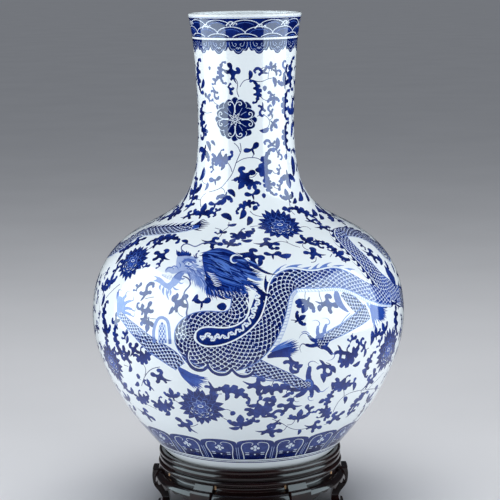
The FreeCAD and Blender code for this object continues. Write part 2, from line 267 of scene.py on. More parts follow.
def wall_pen(angle, s, turn=0.0, size=1.0, mirrored=False):
    """A pen whose plane, in mm, touches the wall at (angle, s)."""
    def to_wall(table):
        p = points(table) * size
        if mirrored:
            p = p * [-1, 1]
        p = p @ rotation(turn)
        return np.column_stack([angle + p[:, 0] / radius(s + 0.5 * p[:, 1]), s + p[:, 1]])
    return Pen(to_wall)


brush = Pen(project)


# ----------------------------------------------------------------------------
# Leaves
# ----------------------------------------------------------------------------
SHADE = "0,-5 0,6"      # start and end of a leaf body's grading
# kind: (size, grading, bodies, hooks as (path, half width, radius of the end, steps))
SPRIGS = {
    "comma": (1.02, SHADE, ["""-5,-2.4 -2.4,-1.2 0.2,-1.6 2.6,-2.4 4.6,-1.2 4.6,1.2 2.4,1.6
              0.8,1 0.6,3 -0.8,4.8 -2.4,3.8 -2.2,1.6 -3.6,0.4"""],
              [("-3,-1 -5.2,0.4 -6.2,2.2", 0.8, 1.3, 8)]),
    "bow": (0.90, SHADE, ["""-0.4,-0.6 -2.2,-1.2 -4.8,-1 -6.8,0.4 -6.4,2.4 -4.2,3 -2.2,1.8
            -0.6,1 1.2,1.8 3,3.8 5.6,4.2 7.2,2.4 6.4,0.2 4,-0.8 1.6,-0.6""",
            "-0.9,-0.2 0.8,-0.2 0.9,-2.6 0.2,-5 -0.6,-3"], []),
    "run": (0.92, "0,-3 0,5", ["""-8.8,-1.4 -9,1.2 -6.8,1.8 -6.2,3.8 -3.8,4.2 -3,2.8 -1.8,5
            0.8,5 1.4,3.2 3.2,4.6 5.2,3.6 4.9,1.9 7.2,1.8 7.8,-0.4 6,-1.8 3.8,-0.6 2.6,-3 1,-3
            0.6,-0.8 -1.6,-0.6 -3,-2.6 -4.6,-2.2 -5,-0.4 -6.6,-0.6"""],
            [("-7.6,-0.4 -10.2,-1.4 -10.4,-3.8", 1.1, 1.45, 9),
             ("6.4,-0.4 9,-1.6 9,-4", 1.0, 1.35, 9)]),
    "tri": (1.02, SHADE, ["""-0.55,-5.6 0.55,-5.6 1.1,-3 3.2,-3 5.4,-1.8 5.6,0.9 3.4,1.3
            2.1,0.7 2.8,2.6 2.2,5 0.7,7 -1.1,5.2 -2.2,2.8 -1.8,0.8 -3.4,1.7 -5.5,1.2 -5.6,-1.4
            -3.6,-2.8 -1.1,-2.9"""],
            [("4.2,-1 6.2,-0.4 6.8,1.4", 1.2, 1.7, 8),
             ("-4.2,-0.8 -6,0 -6.4,1.8", 1.1, 1.5, 8)]),
    "curl": (1.02, SHADE, ["""-6.6,-4.4 -3.6,-4.2 -0.8,-2.8 1.6,-2.6 3.8,-3.4 5,-1.8 3.6,-0.2
             1.8,0.2 2.4,2.4 4.4,3.2 6.4,2.6 7.2,4.2 5.4,6.2 2.6,6 0.4,4.2 -0.8,1.4 -2.6,1.2
             -4.6,2.8 -6.2,1.8 -5.4,-0.2 -3.2,-1.6 -5,-3"""],
             [("5.6,4.8 7.6,3.4 6.8,1.6", 1.0, 1.2, 8)]),
    "fork": (0.98, SHADE, ["""-9.8,-1.4 -6.2,-0.9 -3.6,0.2 -2.6,2 -3.6,4.2 -2.4,6.4 0.4,6.8
             2.2,5.2 1.2,3.6 -0.2,3.6 0.8,2 3,1.6 5.4,2.8 8,2 8.4,-0.4 6,-1.2 4,-0.8 3.4,-2.6
             5,-4.6 3.6,-6.2 1.2,-4.8 0,-2.6 -2,-2.6 -3.8,-4.6 -5.4,-4 -5,-2.4 -7,-2.2"""], []),
    "crest": (1.0, SHADE, ["""-8.2,-2 -9,0.8 -6.8,1.8 -6.4,4 -4,4.6 -3.2,3.2 -2.4,5.8 0.4,6.4
              1.2,4.8 2.8,6.2 5.2,5.2 4.9,3.4 7.4,3.4 8.2,1 6.4,-0.2 8.4,-1.6 7.4,-3.2
              4.6,-2.4 3,-0.8 1.4,-3.4 -0.2,-4.4 -1.4,-2.8 -2.6,-1 -4.2,-3.2 -5.8,-3.4
              -6.2,-1.6"""],
              [("-7.4,-0.6 -9.8,-2.2 -9.4,-4.6", 1.0, 1.4, 8),
               ("-0.2,-3 -0.8,-5.4 -2.8,-6.2", 0.5, 0.9, 8)]),
}
# single strokes: kind: (path, half width, power of the swelling)
SINGLES = {"leaf": ("-0.9,-3.9 0.6,0.2 -0.4,3.9", 1.85, 0.8),
           "drop": ("0,-2.9 0.2,0 0,2.2", 2.05, 0.7)}


def draw_sprig(pen, kind, density=1.0, grey=0.0):
    tone, end_tone = leaf_tones(density, grey)
    _, shade, bodies, hooks = SPRIGS[kind]
    for body in bodies:
        pen.fill(closed(body), tone, end_tone, *points(shade))
    for path, half, ball, n in hooks:
        center = cubic(path, n)
        pen.solid(center, np.linspace(half, ball * 0.62, n), tone, end_tone)
        pen.blob(*center[-1], ball, end_tone, n=10)


def draw_single(pen, kind, density, grey):
    path, half, power = SINGLES[kind]
    pen.solid(cubic(path, 11), swell(11, 0.10 * half, half, power, 0.62),
              *leaf_tones(density, grey))


# ----------------------------------------------------------------------------
# Flowers
# ----------------------------------------------------------------------------
def petal(pen, degrees, inner, outer, half, tone, end_tone, lean=0.0, edge=None):
    """Pointed petal between two radii, with an optional outline of the tone edge."""
    t = np.linspace(0, 1, 9)
    widths = half * np.sin(np.clip(t * 0.92 + 0.10, 0, 1) * math.pi) ** 0.75
    widths[-1] = 0.0
    along = inner + (outer - inner) * t
    bend = lean * t ** 2
    turn = rotation(math.radians(degrees))

    def outline(x, h):
        return np.vstack([np.column_stack([x, h + bend]),
                          np.column_stack([x, -h + bend])[-2::-1]])
    if edge is not None:
        wide = outline(along + 0.35, widths + 0.42)
        wide[:, 0] = np.where(wide[:, 0] > outer, outer + 0.8, wide[:, 0])
        pen.fill(wide @ turn, edge)
    ends = np.array([(inner, 0.0), (outer, 0.0)]) @ turn
    pen.fill(outline(along, widths) @ turn, tone, end_tone, *ends)


def lotus(place, size, density=1.0, grey=0.0):
    """Lotus with spiky outer leaves, three ranks of edged petals and a seed cup."""
    pen = wall_pen(*place, size=size / 25.0)
    navy, deep, middle = ((k * density, grey) for k in (1.0, 0.86, 0.66))
    for i in range(19):
        degrees = 360.0 * i / 19 + rnd.uniform(-4, 4)
        length = 25.0 * (0.92 + 0.14 * rnd.rand())
        petal(pen, degrees, 9.0, length, 3.5, navy, deep, lean=rnd.uniform(-2.0, 2.0))
    a = np.linspace(0, 2 * math.pi, 40, endpoint=False)
    pen.fill(np.column_stack([18.6 * np.cos(a), 18.0 * np.sin(a)]), navy)
    # ranks: count, inner and outer radius, half width, tones, edge density, first angle
    for n, inner, outer, half, tone, end_tone, edge, phase in (
            (15, 9.0, 20.0, 2.7, deep, navy, 0.74, 4), (10, 5.0, 14.0, 2.9, deep, navy, 0.62, 15),
            (7, 2.0, 9.0, 2.6, middle, deep, 0.36, 0)):
        for i in range(n):
            petal(pen, phase + 360.0 * i / n, inner, outer, half, tone, end_tone,
                  edge=(edge * density, grey))
    # light crescents on the lower petals
    for k in range(9):
        b = math.radians(200 + 140.0 * k / 8.0 + rnd.uniform(-5, 5))
        r = 10.2 + 3.4 * (k % 2)
        u = np.linspace(-1.2, 1.2, 7)
        center = np.column_stack([
            r * math.cos(b) + 2.0 * np.cos(b + u) - 1.0 * math.cos(b),
            r * math.sin(b) + 2.0 * np.sin(b + u) - 1.0 * math.sin(b)])
        pen.band(center, 0.42 * np.cos(u * 1.1), (0.06, 0))
    # seed cup: half width, centre height, half height, tone
    for wide, y, tall, tone in ((4.4, 0.6, 3.0, deep), (3.3, 1.0, 2.0, (0.10 * density, grey)),
                                (2.3, 1.1, 1.3, middle)):
        pen.fill(np.column_stack([wide * np.cos(a), y + tall * np.sin(a)]), tone)


def rosette(place, size):
    """Lotus seen from above: rounded petals with pale scroll lines round a star."""
    pen = wall_pen(*place, size=size / 23.0)
    navy = (1.0, 0.0)
    a = np.linspace(0, 2 * math.pi, 48, endpoint=False)
    for ring_radius, lobe, phase in ((19.4, 5.6, 0.0), (17.4, 6.3, 22.5)):
        for i in range(8):
            q = math.radians(360.0 * i / 8 + phase + rnd.uniform(-3, 3))
            x, y = ring_radius * math.cos(q), ring_radius * math.sin(q)
            r = lobe * (1 + 0.10 * np.cos(3 * a + i))
            pen.fill(np.column_stack([x + r * np.cos(a), y + r * np.sin(a)]), (0.14, 0))
            r = r - 0.62
            pen.fill(np.column_stack([x + r * np.cos(a), y + r * np.sin(a)]), navy)
    disc = np.column_stack([17.6 * np.cos(a), 17.6 * np.sin(a)])
    pen.fill(disc * (1 + 0.03 * np.cos(8 * a))[:, None], navy)
    scroll = points("7,2.2 11,4.4 15.6,5.4 19.8,3.4 20.2,0.4 17.8,-0.6 16.6,1 17.8,2")
    for i in range(8):
        turn = rotation(math.radians(45.0 * i + 22.5))
        flip = [1, 1 if i % 2 else -1]
        pen.band(cubic(scroll * flip, 22) @ turn, 0.46, (0.08, 0))
        pen.band(cubic(points("8,-1.6 11.6,-2.6 15,-2.8") * flip, 10) @ turn, 0.28, (0.30, 0))
    for i in range(8):
        degrees = 45.0 * i + 8
        petal(pen, degrees, 1.6, 8.8 if i % 2 else 7.4, 1.30, (0.05, 0), (0.10, 0))
        petal(pen, degrees, 2.6, 7.2 if i % 2 else 6.0, 0.62, navy, navy)
    for r, tone in ((1.9, navy), (0.8, (0.2, 0))):
        pen.fill(np.column_stack([r * np.cos(a), r * np.sin(a)]), tone)


# ----------------------------------------------------------------------------
# Bands. Only half a turn is laid out; the wall repeats it.
# ----------------------------------------------------------------------------
DIVISIONS = 240     # round the whole vase
HALF_DIVISIONS = DIVISIONS // 2


def ring(low, high, tone):
    """Plain ring between two heights in mm."""
    s0, s1 = arc(low), arc(high)
    th = np.linspace(-math.pi / 2, math.pi / 2, HALF_DIVISIONS + 1)
    for a, b in zip(th, th[1:]):
        paint([(a, s0), (b, s0), (b, s1), (a, s1)], tone)


def around(n, phase=0.0):
    return [phase + 2 * math.pi * i / n for i in range(n // 2)]


def waves(low, high):
    """Overlapping arcs in white line on dark blue, with curling crests."""
    s0, s1 = arc(low), arc(high)
    ring(low, high, (0.98, 0.0))
    n = 12
    h = s1 - s0
    for row in (2, 1, 0):
        base = s0 + h * (-0.16 + 0.34 * row)
        r = radius(base)
        w = math.pi * r / n
        for th in around(n, (row % 2) * math.pi / n):
            # size, first angle, half width and density of the outer and inner arc
            for size, first, half, density in ((1.04, 0.0, 0.46, 0.10), (0.70, 0.5, 0.26, 0.55)):
                a = np.linspace(first, math.pi, 17)
                line = np.column_stack([
                    th + w * size * np.cos(a) / r,
                    np.clip(base + 0.52 * w * size * np.sin(a), s0 + 0.2, s1 - 0.3)])
                if first == 0.0:
                    feet = [(th - w * size / r, s0 + 0.1), (th + w * size / r, s0 + 0.1)]
                    paint(np.vstack([line, feet]), (0.99 - 0.06 * (row % 2), 0))
                if base + 0.52 * w * size > s0 + 1.5:
                    keep = line[:, 1] > s0 + 0.3
                    if keep.sum() > 4:
                        wall_line(line[keep], half, (density, 0))
    r = radius(s1)
    for i, th in enumerate(around(n, math.pi / n)):
        base = s0 + h * (0.66 if i % 2 else 0.52)
        for dx, k in ((0.0, 0.95), (6.4, 0.55)):
            crest = points("-6,-1 -3,2.4 0.4,4.4 3.2,3.4 2.8,1.4 1.2,1.8") * k
            crest[:, 0] += dx
            q = cubic(crest, 14)
            line = np.column_stack([th + q[:, 0] / r, np.minimum(base + q[:, 1], s1 - 0.5)])
            wall_line(line, 0.55 * k + 0.12, (0.03, 0))


def lappets(high, low, n, phase):
    """Hanging three-lobed heads with a pale inner line and scrolls."""
    top, bottom = arc(high), arc(low)
    height = top - bottom
    r = radius((top + bottom) / 2)
    width = math.pi * r / n
    # points are (fraction of the half width, fraction of the height down)
    lobes = cubic("""-1,0 -1.02,0.34 -0.93,0.62 -0.70,0.78 -0.47,0.74 -0.36,0.86
                  -0.18,0.98 0,1.02""", 26)
    head = np.vstack([lobes, (lobes[::-1] * [-1, 1])[1:]])
    for th in around(n, phase):
        def place(p):
            return np.column_stack([th + p[:, 0] * width / r, top - p[:, 1] * height])
        paint(place(head), (1.0, 0.0), (0.95, 0.0), (th, top), (th, bottom))
        wall_line(place(head * [0.84, 0.86]), 0.22, (0.26, 0.0))
        for side in (-1, 1):
            curl = points("0.60,0.10 0.50,0.36 0.30,0.44 0.18,0.30 0.32,0.22") * [side, 1]
            wall_line(place(cubic(curl, 16)), 0.26, (0.26, 0.0))
        wall_line(place(cubic("-0.22,0.62 -0.08,0.52 0,0.66 0.08,0.52 0.22,0.62", 14)),
                  0.30, (0.20, 0.0))
        # web between two heads
        paint(place(cubic("0.80,0.02 0.92,0.30 1,0.52 1.08,0.30 1.20,0.02", 14)), (0.80, 0.0))


def lotus_panels(low, high, n, phase, grey):
    """Upright petal panels: dark frames round fields that are darker at the foot."""
    bottom, top = arc(low), arc(high)
    height = top - bottom
    t = np.linspace(0, math.pi, 19)
    arch = np.column_stack([-np.cos(t) * 1.0, 0.80 + 0.20 * np.sin(t) ** 0.75])
    left = np.column_stack([np.full(7, -1.0), np.linspace(0, 0.80, 7)])
    right = left[::-1] * [-1, 1]
    foot = np.column_stack([np.linspace(1, -1, 9), np.zeros(9)])[1:-1]
    panel = np.vstack([left[:-1], arch, right[1:], foot])
    bracket = cubic("""-0.66,0.02 -0.70,0.36 -0.76,0.62 -0.66,0.80 -0.44,0.86 -0.22,0.86
                    -0.12,0.80 -0.20,0.73""", 30)
    field = np.vstack([[(-0.66, 0.0)], bracket[:22], bracket[:22][::-1] * [-1, 1],
                       points("0.66,0 0.33,0 0,0 -0.33,0")])

    def place(th, u, v):
        """u in half panels from the panel's middle, v in panel heights from its foot."""
        u, v = np.asarray(u, float), np.asarray(v, float)
        return np.column_stack([th + u * math.pi / n, bottom + v * height])
    for th in around(n, phase):
        paint(place(th, *panel.T), (0.98, grey * 0.5), (0.86, grey), (th, bottom), (th, top))
    a = np.linspace(0, 2 * math.pi, 9, endpoint=False)
    for th in around(n, phase):
        paint(place(th, *field.T), (1.0, grey * 0.3), (0.82, grey),
              (th, bottom + 0.30 * height), (th, bottom + 0.36 * height))
        for side in (1, -1):
            wall_line(place(th, bracket[:, 0] * side, bracket[:, 1]),
                      np.linspace(0.52, 0.36, 30), (0.06, 0.0))
        for u, v, r in ((0, 0.66, 0.10), (-0.17, 0.58, 0.09), (0.17, 0.58, 0.09),
                        (0.0, 0.50, 0.085), (0, 0.585, 0.05), (0.0, 0.27, 0.055)):
            paint(place(th, u + r * np.cos(a), v + r * 0.62 * np.sin(a)), (0.10, 0.0))
        for side in (1, -1):
            for v in (0.34, 0.25):
                paint(place(th, [side * 0.34, side * 0.56, side * 0.56, side * 0.34],
                            [v, v, v + 0.035, v + 0.035]), (0.12, 0.0))
        for u in (-1.06, -0.94):
            paint(place(th, [u - 0.018, u + 0.018, u + 0.018, u - 0.018],
                        [0.04, 0.04, 0.62, 0.62]), (0.35, grey))


# ----------------------------------------------------------------------------
# Tools for the dragon
# ----------------------------------------------------------------------------
class Ribbon:
    """A tapering band on the wall, from a spine on the wall and half widths in mm.

    Inside it, a is the length along the spine and b goes from -1 to 1 (left) across.
    """

    def __init__(self, spine, half, n):
        c = cubic(np.column_stack([spine[:, 0] * UNROLL_RADIUS, spine[:, 1],
                                   np.asarray(half, float) * 3.0]), n)
        self.path = np.column_stack([c[:, 0] / UNROLL_RADIUS, c[:, 1]])
        self.half = c[:, 2] / 3.0
        d = np.gradient(self.path, axis=0)
        d = np.column_stack([d[:, 0] * radius(self.path[:, 1]), d[:, 1]])
        step = np.hypot(d[:, 0], d[:, 1])
        self.along = np.concatenate([[0], np.cumsum((step[1:] + step[:-1]) / 2)])
        t = d / np.maximum(step[:, None], 1e-9)
        self.normal = np.column_stack([-t[:, 1], t[:, 0]])
        self.length = self.along[-1]

    def map(self, a, b):
        def at(values):
            return np.interp(a, self.along, values)
        a = np.asarray(a, float)
        s = at(self.path[:, 1])
        k = at(self.half) * np.asarray(b, float)
        return np.column_stack([at(self.path[:, 0]) + at(self.normal[:, 0]) * k / radius(s),
                                s + at(self.normal[:, 1]) * k])

    def nearest(self, x, y):
        """Length along the spine nearest to a sheet point."""
        th, s = project([(x, y)])[0]
        d = (self.path[:, 0] - th) ** 2 * UNROLL_RADIUS ** 2 + (self.path[:, 1] - s) ** 2
        return self.along[int(d.argmin())]

    def fill(self, tone, end_tone=None, a0=0.0, a1=None, b0=-1, b1=1):
        a1 = self.length if a1 is None else a1
        n = max(3, int((a1 - a0) / 3.0))
        a = np.linspace(a0, a1, n)
        left, right = self.map(a, np.full(n, b1)), self.map(a, np.full(n, b0))
        if end_tone is None:
            paint_strip(left, right, tone)
            return
        for i in range(n - 1):
            paint([left[i], right[i], right[i + 1], left[i + 1]], tone, end_tone,
                  left[i], right[i])

    def edge(self, b, half, tone, a0=0.0):
        n = max(4, int((self.length - a0) / 2.6))
        wall_line(self.map(np.linspace(a0, self.length, n), np.full(n, b)), half, tone)

    def scales(self, a0, a1, b0, b1, long, wide, density=1.0, fade=lambda a: 1.0):
        """Overlapping scales with white rims, their round ends towards the spine's end."""
        long, wide = long * 1.46, wide * 1.12
        rows = []
        a, k = a0, 0
        while a < a1:
            w = np.interp(a, self.along, self.half)
            m = max(1, int(round((b1 - b0) * w / wide)))
            for j in range(m + (k % 2)):
                b = b0 + (b1 - b0) * (j + (0.5 if k % 2 == 0 else 0.0)) / m
                if b0 - 0.02 <= b <= b1 + 0.02:
                    rows.append((a, b, w, (b1 - b0) * w / m))
            a += long / 2
            k += 1

        def place(a, b):
            return self.map(np.clip(a, 0, self.length), np.clip(b, -1, 1))
        t = np.linspace(-0.5, 0.5, 7) * math.pi * 1.12
        for a, b, w, pitch in rows:
            h = pitch * 0.5
            rim = place(a + long * 0.46 * np.cos(t), b + h * 0.98 * np.sin(t) / w)
            inner = place(a - 0.2 + long * 0.46 * 0.79 * np.cos(t), b + h * 0.80 * np.sin(t) / w)
            paint(np.vstack([rim, inner[::-1]]), (min(0.04 + 0.20 * (1 - fade(a)), 0.12), 0.0))
        u = np.linspace(0, 2 * math.pi, 8, endpoint=False)
        ahead = np.cos(u) > 0
        for a, b, w, pitch in rows:
            da = long * np.where(ahead, 0.30, 0.34) * np.cos(u) - 0.15
            db = pitch * 0.36 * np.sin(u) * np.where(ahead, 1.0, 0.66)
            tone = (min(1.0, density * fade(a) * rnd.uniform(0.93, 1.05)), 0.0)
            paint(place(a + da, b + db / w), tone)


def drawn_ribbon(spine, half, n):
    """Ribbon whose spine and half widths are given on the sheet."""
    return Ribbon(project(spine), np.asarray(half, float) * DRAWN_WIDTH, n)


def flames(ribbon, side, a0, a1, pitch, height, tone, end_tone, root, lean=0.75):
    """Row of flame-shaped fins standing off one edge of a ribbon, rooted at b = root."""
    n = max(1, int(round((a1 - a0) / pitch)))
    flame = cubic([(-0.62, 0), (-0.34, 0.42), (0.06, 0.80), (lean, 1.22), (0.42, 0.70),
                   (0.40, 0.34), (0.62, 0.0)], 15)
    for i in range(n):
        a = a0 + (a1 - a0) * (i + 0.5) / n
        h = height * rnd.uniform(0.8, 1.2)
        w = np.interp(a, ribbon.along, ribbon.half)
        outline = ribbon.map(np.clip(a + flame[:, 0] * pitch, 0, ribbon.length),
                             side * (root + flame[:, 1] * h / w))
        tip = np.clip(a + lean * pitch, 0, ribbon.length)
        paint(outline, tone, end_tone, ribbon.map([a], [side * root])[0],
              ribbon.map([tip], [side * (root + h / w)])[0])


def claw(pen, path, half, tone, end_tone, nail=None):
    """A toe and its curved nail; the path is root, toe tip, then the nail."""
    path = points(path)
    root, tip = path[:2]
    middle = ((root[0] + tip[0]) / 2 + 0.12 * (tip[1] - root[1]),
              (root[1] + tip[1]) / 2 - 0.12 * (tip[0] - root[0]))
    knuckles = np.where(np.arange(9) % 3 == 1, 1.12, 1.0)
    pen.band(cubic([root, middle, tip], 9), np.linspace(half * 1.2, half * 0.72, 9) * knuckles,
             tone, end_tone, right=np.linspace(half * 1.1, half * 0.7, 9))
    pen.blob(tip[0], tip[1], half * 0.72, end_tone, n=9)
    pen.band(cubic(path[1:], 18), np.linspace(0.62, 0.10, 18), nail or end_tone)


def tuft(pen, path, half, tone, end_tone, n, spread=1.0):
    """Brushed hair with ragged ends; the path is the root, then the curve of the tips."""
    path = points(path)
    root = path[0]
    for tip in cubic(path[1:], n * 3):
        sway = rnd.uniform(-0.5, 0.5, 2)
        reach = rnd.choice([0.62, 0.74, 0.86, 0.94, 1.0, 1.08])
        start = root + rnd.uniform(-0.45, 0.45, 2) * half
        end = root + (tip - root) * reach
        middle = (root + end) / 2 + sway + [0, spread]
        pen.stroke([start, middle, end], half * rnd.uniform(0.34, 0.62),
                   mix(tone, end_tone, 0.4 * rnd.rand()), end_tone, n=11, bulge=0.30)


def hair(path, half, density, grey=0.0, n=22):
    brush.stroke(path, half, (density, grey), n=n, bulge=0.4)


# ----------------------------------------------------------------------------
# The dragon
# ----------------------------------------------------------------------------
def dragon_tail():
    """Tail over the right shoulder and on round the far side."""
    near = project("337,233.5 350,232 362,235.5 373,242.5 383,252.5")
    far = project("136,236 150,231.5 165,230.6 180,229.3 191,227.8 199,226.4") + [math.pi, 0]
    side = np.array([(math.radians(88), near[-1][1] - 1.0),
                     (math.radians(104), far[0][1] - 7.0)])
    tail = Ribbon(np.vstack([near, side, far]), [7.5, 11.0, 12.0, 12.0, 11.4, 10.8, 10.0, 9.6,
                                                 9.2, 8.6, 7.4, 5.6, 3.0], 260)
    end = tail.length
    flames(tail, 1, 30, end - 12, 9.0, 7.0, (0.95, 0), (0.9, 0), root=0.92)
    # flames at the tip: place across the tail, length
    for across, length in ((-1.9, 9), (-1.0, 12), (-0.3, 15), (0.4, 17), (1.1, 15), (1.9, 12),
                           (2.6, 8)):
        q0 = tail.map([end - 10], [0.1 * across])[0]
        q1 = tail.map([end - 2], [0.9 * across])[0]
        d = tail.path[-1] - tail.path[-8]
        d = d / math.hypot(d[0] * radius(q1[1]), d[1])
        q2 = q1 + d * length * 0.6 + [0, 1.5 * across]
        q3 = q1 + d * length + [0, 1.2 * across - 2.0]
        c = cubic(np.array([q0, q1, q2, q3]) * [100, 1], 14) / [100, 1]
        wall_line(c, swell(14, 0.1, 1.5, bulge=0.3), (0.97, 0))
    tail.fill((0.70, 0))
    tail.scales(2, end - 8, -0.86, 0.92, 5.0, 4.2)
    tail.edge(1.0, 0.55, (0.93, 0))
    tail.edge(-1.0, 0.5, (0.30, 0))
    tail.edge(-0.9, 0.4, (0.05, 0))


def dragon_rump():
    """The tail's lower part, from the shoulder loop down to the hips."""
    rump = drawn_ribbon("""340,231 343,239 351.5,248.5 361.5,258.5 371.5,270 381,281.5
                        391,290.5 400,297""", [6.4, 9.6, 10.2, 10.6, 11.2, 12.0, 12.0, 11.0], 120)
    end = rump.length
    flames(rump, -1, 4, end * 0.62, 8.0, 6.4, (0.97, 0), (0.9, 0), root=0.9, lean=-0.9)
    rump.fill((0.68, 0))
    rump.scales(1, end, -0.84, 0.95, 5.2, 4.6, fade=lambda a: 0.9 if a < end * 0.6 else 0.8)
    rump.edge(-1.0, 0.8, (0.95, 0))
    rump.edge(-0.86, 0.62, (0.03, 0))
    rump.edge(1.0, 0.45, (0.5, 0))
    brush.stroke("384,265 389,273 393.5,281 396,288", 2.4, (0.86, 0), n=16)
    for x, y in points("379,303 384,305.5 389,304.5 393,302"):
        brush.stroke([(x - 2, y - 4), (x - 1.2, y + 0.8), (x + 2.6, y + 1.2), (x + 3.2, y - 3)],
                     1.5, (0.95, 0), n=10)


def hind_leg():
    """Thigh, shank, hip hair and five claws."""
    thigh = drawn_ribbon("366,315 358,307 350,299 343,292", [5.5, 7.0, 6.6, 5.0], 40)
    brush.line("336,291 337.5,299 342,306.5 348.5,312",
               np.array([1.4, 2.8, 3.2, 3.2, 3.0, 2.6, 2.0, 1.4, 0.6]), (0.66, 0.3), n=9)
    thigh.fill((0.60, 0))
    thigh.scales(0, thigh.length, -0.9, 0.9, 4.6, 3.8, density=0.97)
    shank = drawn_ribbon("368,311 361,317 352,323.5 343,329 333,334 325,338.5",
                         [8.4, 8.0, 6.6, 6.0, 5.4, 5.0], 60)
    shank.fill((0.60, 0), (0.66, 0))
    shank.scales(0, shank.length, -0.92, 0.92, 4.6, 3.9, density=0.97)
    shank.edge(-1.0, 0.5, (0.45, 0.2))
    shank.edge(1.0, 0.45, (0.5, 0.1))
    brush.line("350,313 345,318 341,324 338,329", 0.45, (0.5, 0.3), n=14)
    brush.line("352,314.5 347,319 343,324.5", 0.35, (0.4, 0.3), n=12)
    tuft(brush, "371,304 386,308 387,315 384,321 378,327 373,331", 2.6, (0.62, 0), (0.70, 0), 13)
    tuft(brush, "377,305 387,309 386,316 382,322", 1.6, (0.66, 0), (0.74, 0), 7)
    brush.line("369,297 367.5,303 370,308", 1.1, (0.40, 0.1), n=10)
    upper, lower = (0.74, 0), (0.84, 0)
    for path, half, tone, end_tone, nail in (
            ("319.5,338 318,327 319.6,323 316.4,320.3 312,321.2", 1.9, upper, (0.60, 0.1),
             (0.55, 0.3)),
            ("325,336 326.2,325 329.6,323 328.4,319.4 322,318.2", 1.9, upper, (0.60, 0.1),
             (0.5, 0.3)),
            ("318,341.5 309,336 305.5,333.2 301.4,334.6 299,338.8", 2.1, lower, (0.95, 0),
             (0.7, 0.2)),
            ("318,344 306.5,345 302.2,344 299.8,348 301.4,352.5", 2.0, lower, (0.95, 0),
             (0.9, 0.1)),
            ("321,346 331.5,353.5 334.6,354.6 333,358.6 327.6,360.4", 2.3, lower, (0.9, 0),
             (0.6, 0.2))):
        claw(brush, path, half, tone, end_tone, nail)
    brush.line("309.5,334 306,331.6 301.5,332.4", 0.42, (0.6, 0.3), n=10)
    brush.fill(cubic("316,336 323,332.5 330,335 329,343 324,349 317,346.5 315,341 316,336", 22),
               (0.66, 0), (0.86, 0), (327, 334), (318, 347))
    palm = drawn_ribbon("330,336 324,341 318,345", [4.6, 4.6, 3.6], 20)
    palm.scales(0, palm.length, -0.8, 0.8, 4.0, 3.6, density=0.95)


def right_front_leg():
    """Front leg reaching down to the right."""
    leg = drawn_ribbon("249,364 262,369.5 276,374 290,379.5 303,385.5",
                       [10, 8.6, 6.8, 5.8, 5.0], 60)
    for path, half, end_tone, nail in (
            ("311,385 309.6,368 308.6,363.4 312.8,361.2 318.4,364", 2.9, (0.80, 0.1), (0.75, 0.3)),
            ("311,386 318.5,391 322.4,391.6 326.2,389 329,386.6", 2.7, (0.82, 0.1), (0.5, 0.3)),
            ("310,387 311.4,396 308,397.6 309.6,400.4 314,399.6", 2.5, (0.85, 0.1), (0.6, 0.3)),
            ("306,388 297,396 294,397 294.6,401 299.4,401.4", 2.6, (0.9, 0.1), (0.8, 0.2)),
            ("305,386 291,389.5 286.6,391.6 287.6,394.6 291.6,396.4", 2.6, (0.95, 0.1),
             (0.8, 0.2))):
        claw(brush, path, half, (0.80, 0), end_tone, nail)
    leg.fill((0.62, 0))
    leg.scales(0, leg.length - 1, -0.95, 0.95, 5.0, 4.3)
    leg.edge(1.0, 0.4, (0.6, 0.1))
    leg.edge(-1.0, 0.4, (0.6, 0.1))
    brush.fill(cubic("""304,381 308.5,379 312,381.4 313,386 310.4,390 305,389.6 302.4,385.6
                     304,381""", 22), (0.50, 0), (0.82, 0.1), (310, 378), (308, 392))
    palm = drawn_ribbon("301,384.5 306,385 311,384", [4.0, 4.4, 3.0], 20)
    palm.scales(0, palm.length, -0.8, 0.8, 3.4, 3.2, density=0.97)
    brush.line("250,376 259,377.5 266,380 280,380.6", 0.5, (0.7, 0.3), n=20)


def left_front_leg():
    """Raised leg with pale spread claws, elbow hair and a small crest behind it; the pale, greyer
    tones of the claws, paw and leg are partly painted reflection of the left softbox.
    """
    for path in ("121,305 118,293 119.4,289.6 122.5,291.4",
                 "122,303 125.6,296 127,292 130.8,291.4", "123,306 130,301 133.4,300 133,295.6",
                 "123,309 131,309 134.6,311 135,306", "121,313 130,314.5 133.6,316.4 134,311.4"):
        claw(brush, path, 1.6, (0.52, 0.1), (0.46, 0.2), (0.60, 0.3))
    brush.fill(cubic("""116.6,300 120,296 124,300 125,308 123.5,317 119,318 116.8,310
                     116.6,300""", 22), (0.42, 0), (0.50, 0), (120, 296), (120, 318))
    leg = drawn_ribbon("""119.5,313 126,321.5 135,330.5 144,339 153,346.5 164,353.5 174,360.5
                       180,367""", [3.4, 4.6, 6.2, 7.6, 8.6, 9.2, 9.0, 6.6], 110)
    elbow = leg.length * 0.45
    leg.fill((0.50, 0))
    leg.scales(0, elbow, -0.95, 0.95, 4.4, 3.7, density=0.85)
    leg.scales(elbow, leg.length, -0.95, 0.95, 4.9, 4.3)
    leg.edge(1.0, 0.5, (0.62, 0.2))
    leg.edge(-1.0, 0.45, (0.5, 0.2))
    tuft(brush, "179,368 208,377.5 207,381.5 204,385 199,388 192,387", 2.9, (0.70, 0), (0.74, 0),
         15, spread=2.2)
    tuft(brush, "181,372 206,380 204,384 198,387", 1.2, (0.84, 0), (0.60, 0), 9, spread=2.0)
    brush.line("154.5,343 153.6,334 155.4,324 160.5,317.6 166,319.4 168.8,327 169.6,336 170,344",
               1.55, (0.50, 0.35), n=34)
    brush.fill(cubic("157.6,343 157.4,333 159,324.4 162,321 165,324 166.4,333 167.2,343", 24),
               (0.26, 0))
    crest = drawn_ribbon("162,322.5 162,331 162.6,343", [2.4, 3.8, 4.2], 30)
    crest.scales(1, crest.length, -0.9, 0.9, 4.2, 3.5, density=0.66)
    brush.line("157.8,343 157.6,333 159.2,324.6 162,321.2 164.8,324.2", 0.6, (0.02, 0), n=26)


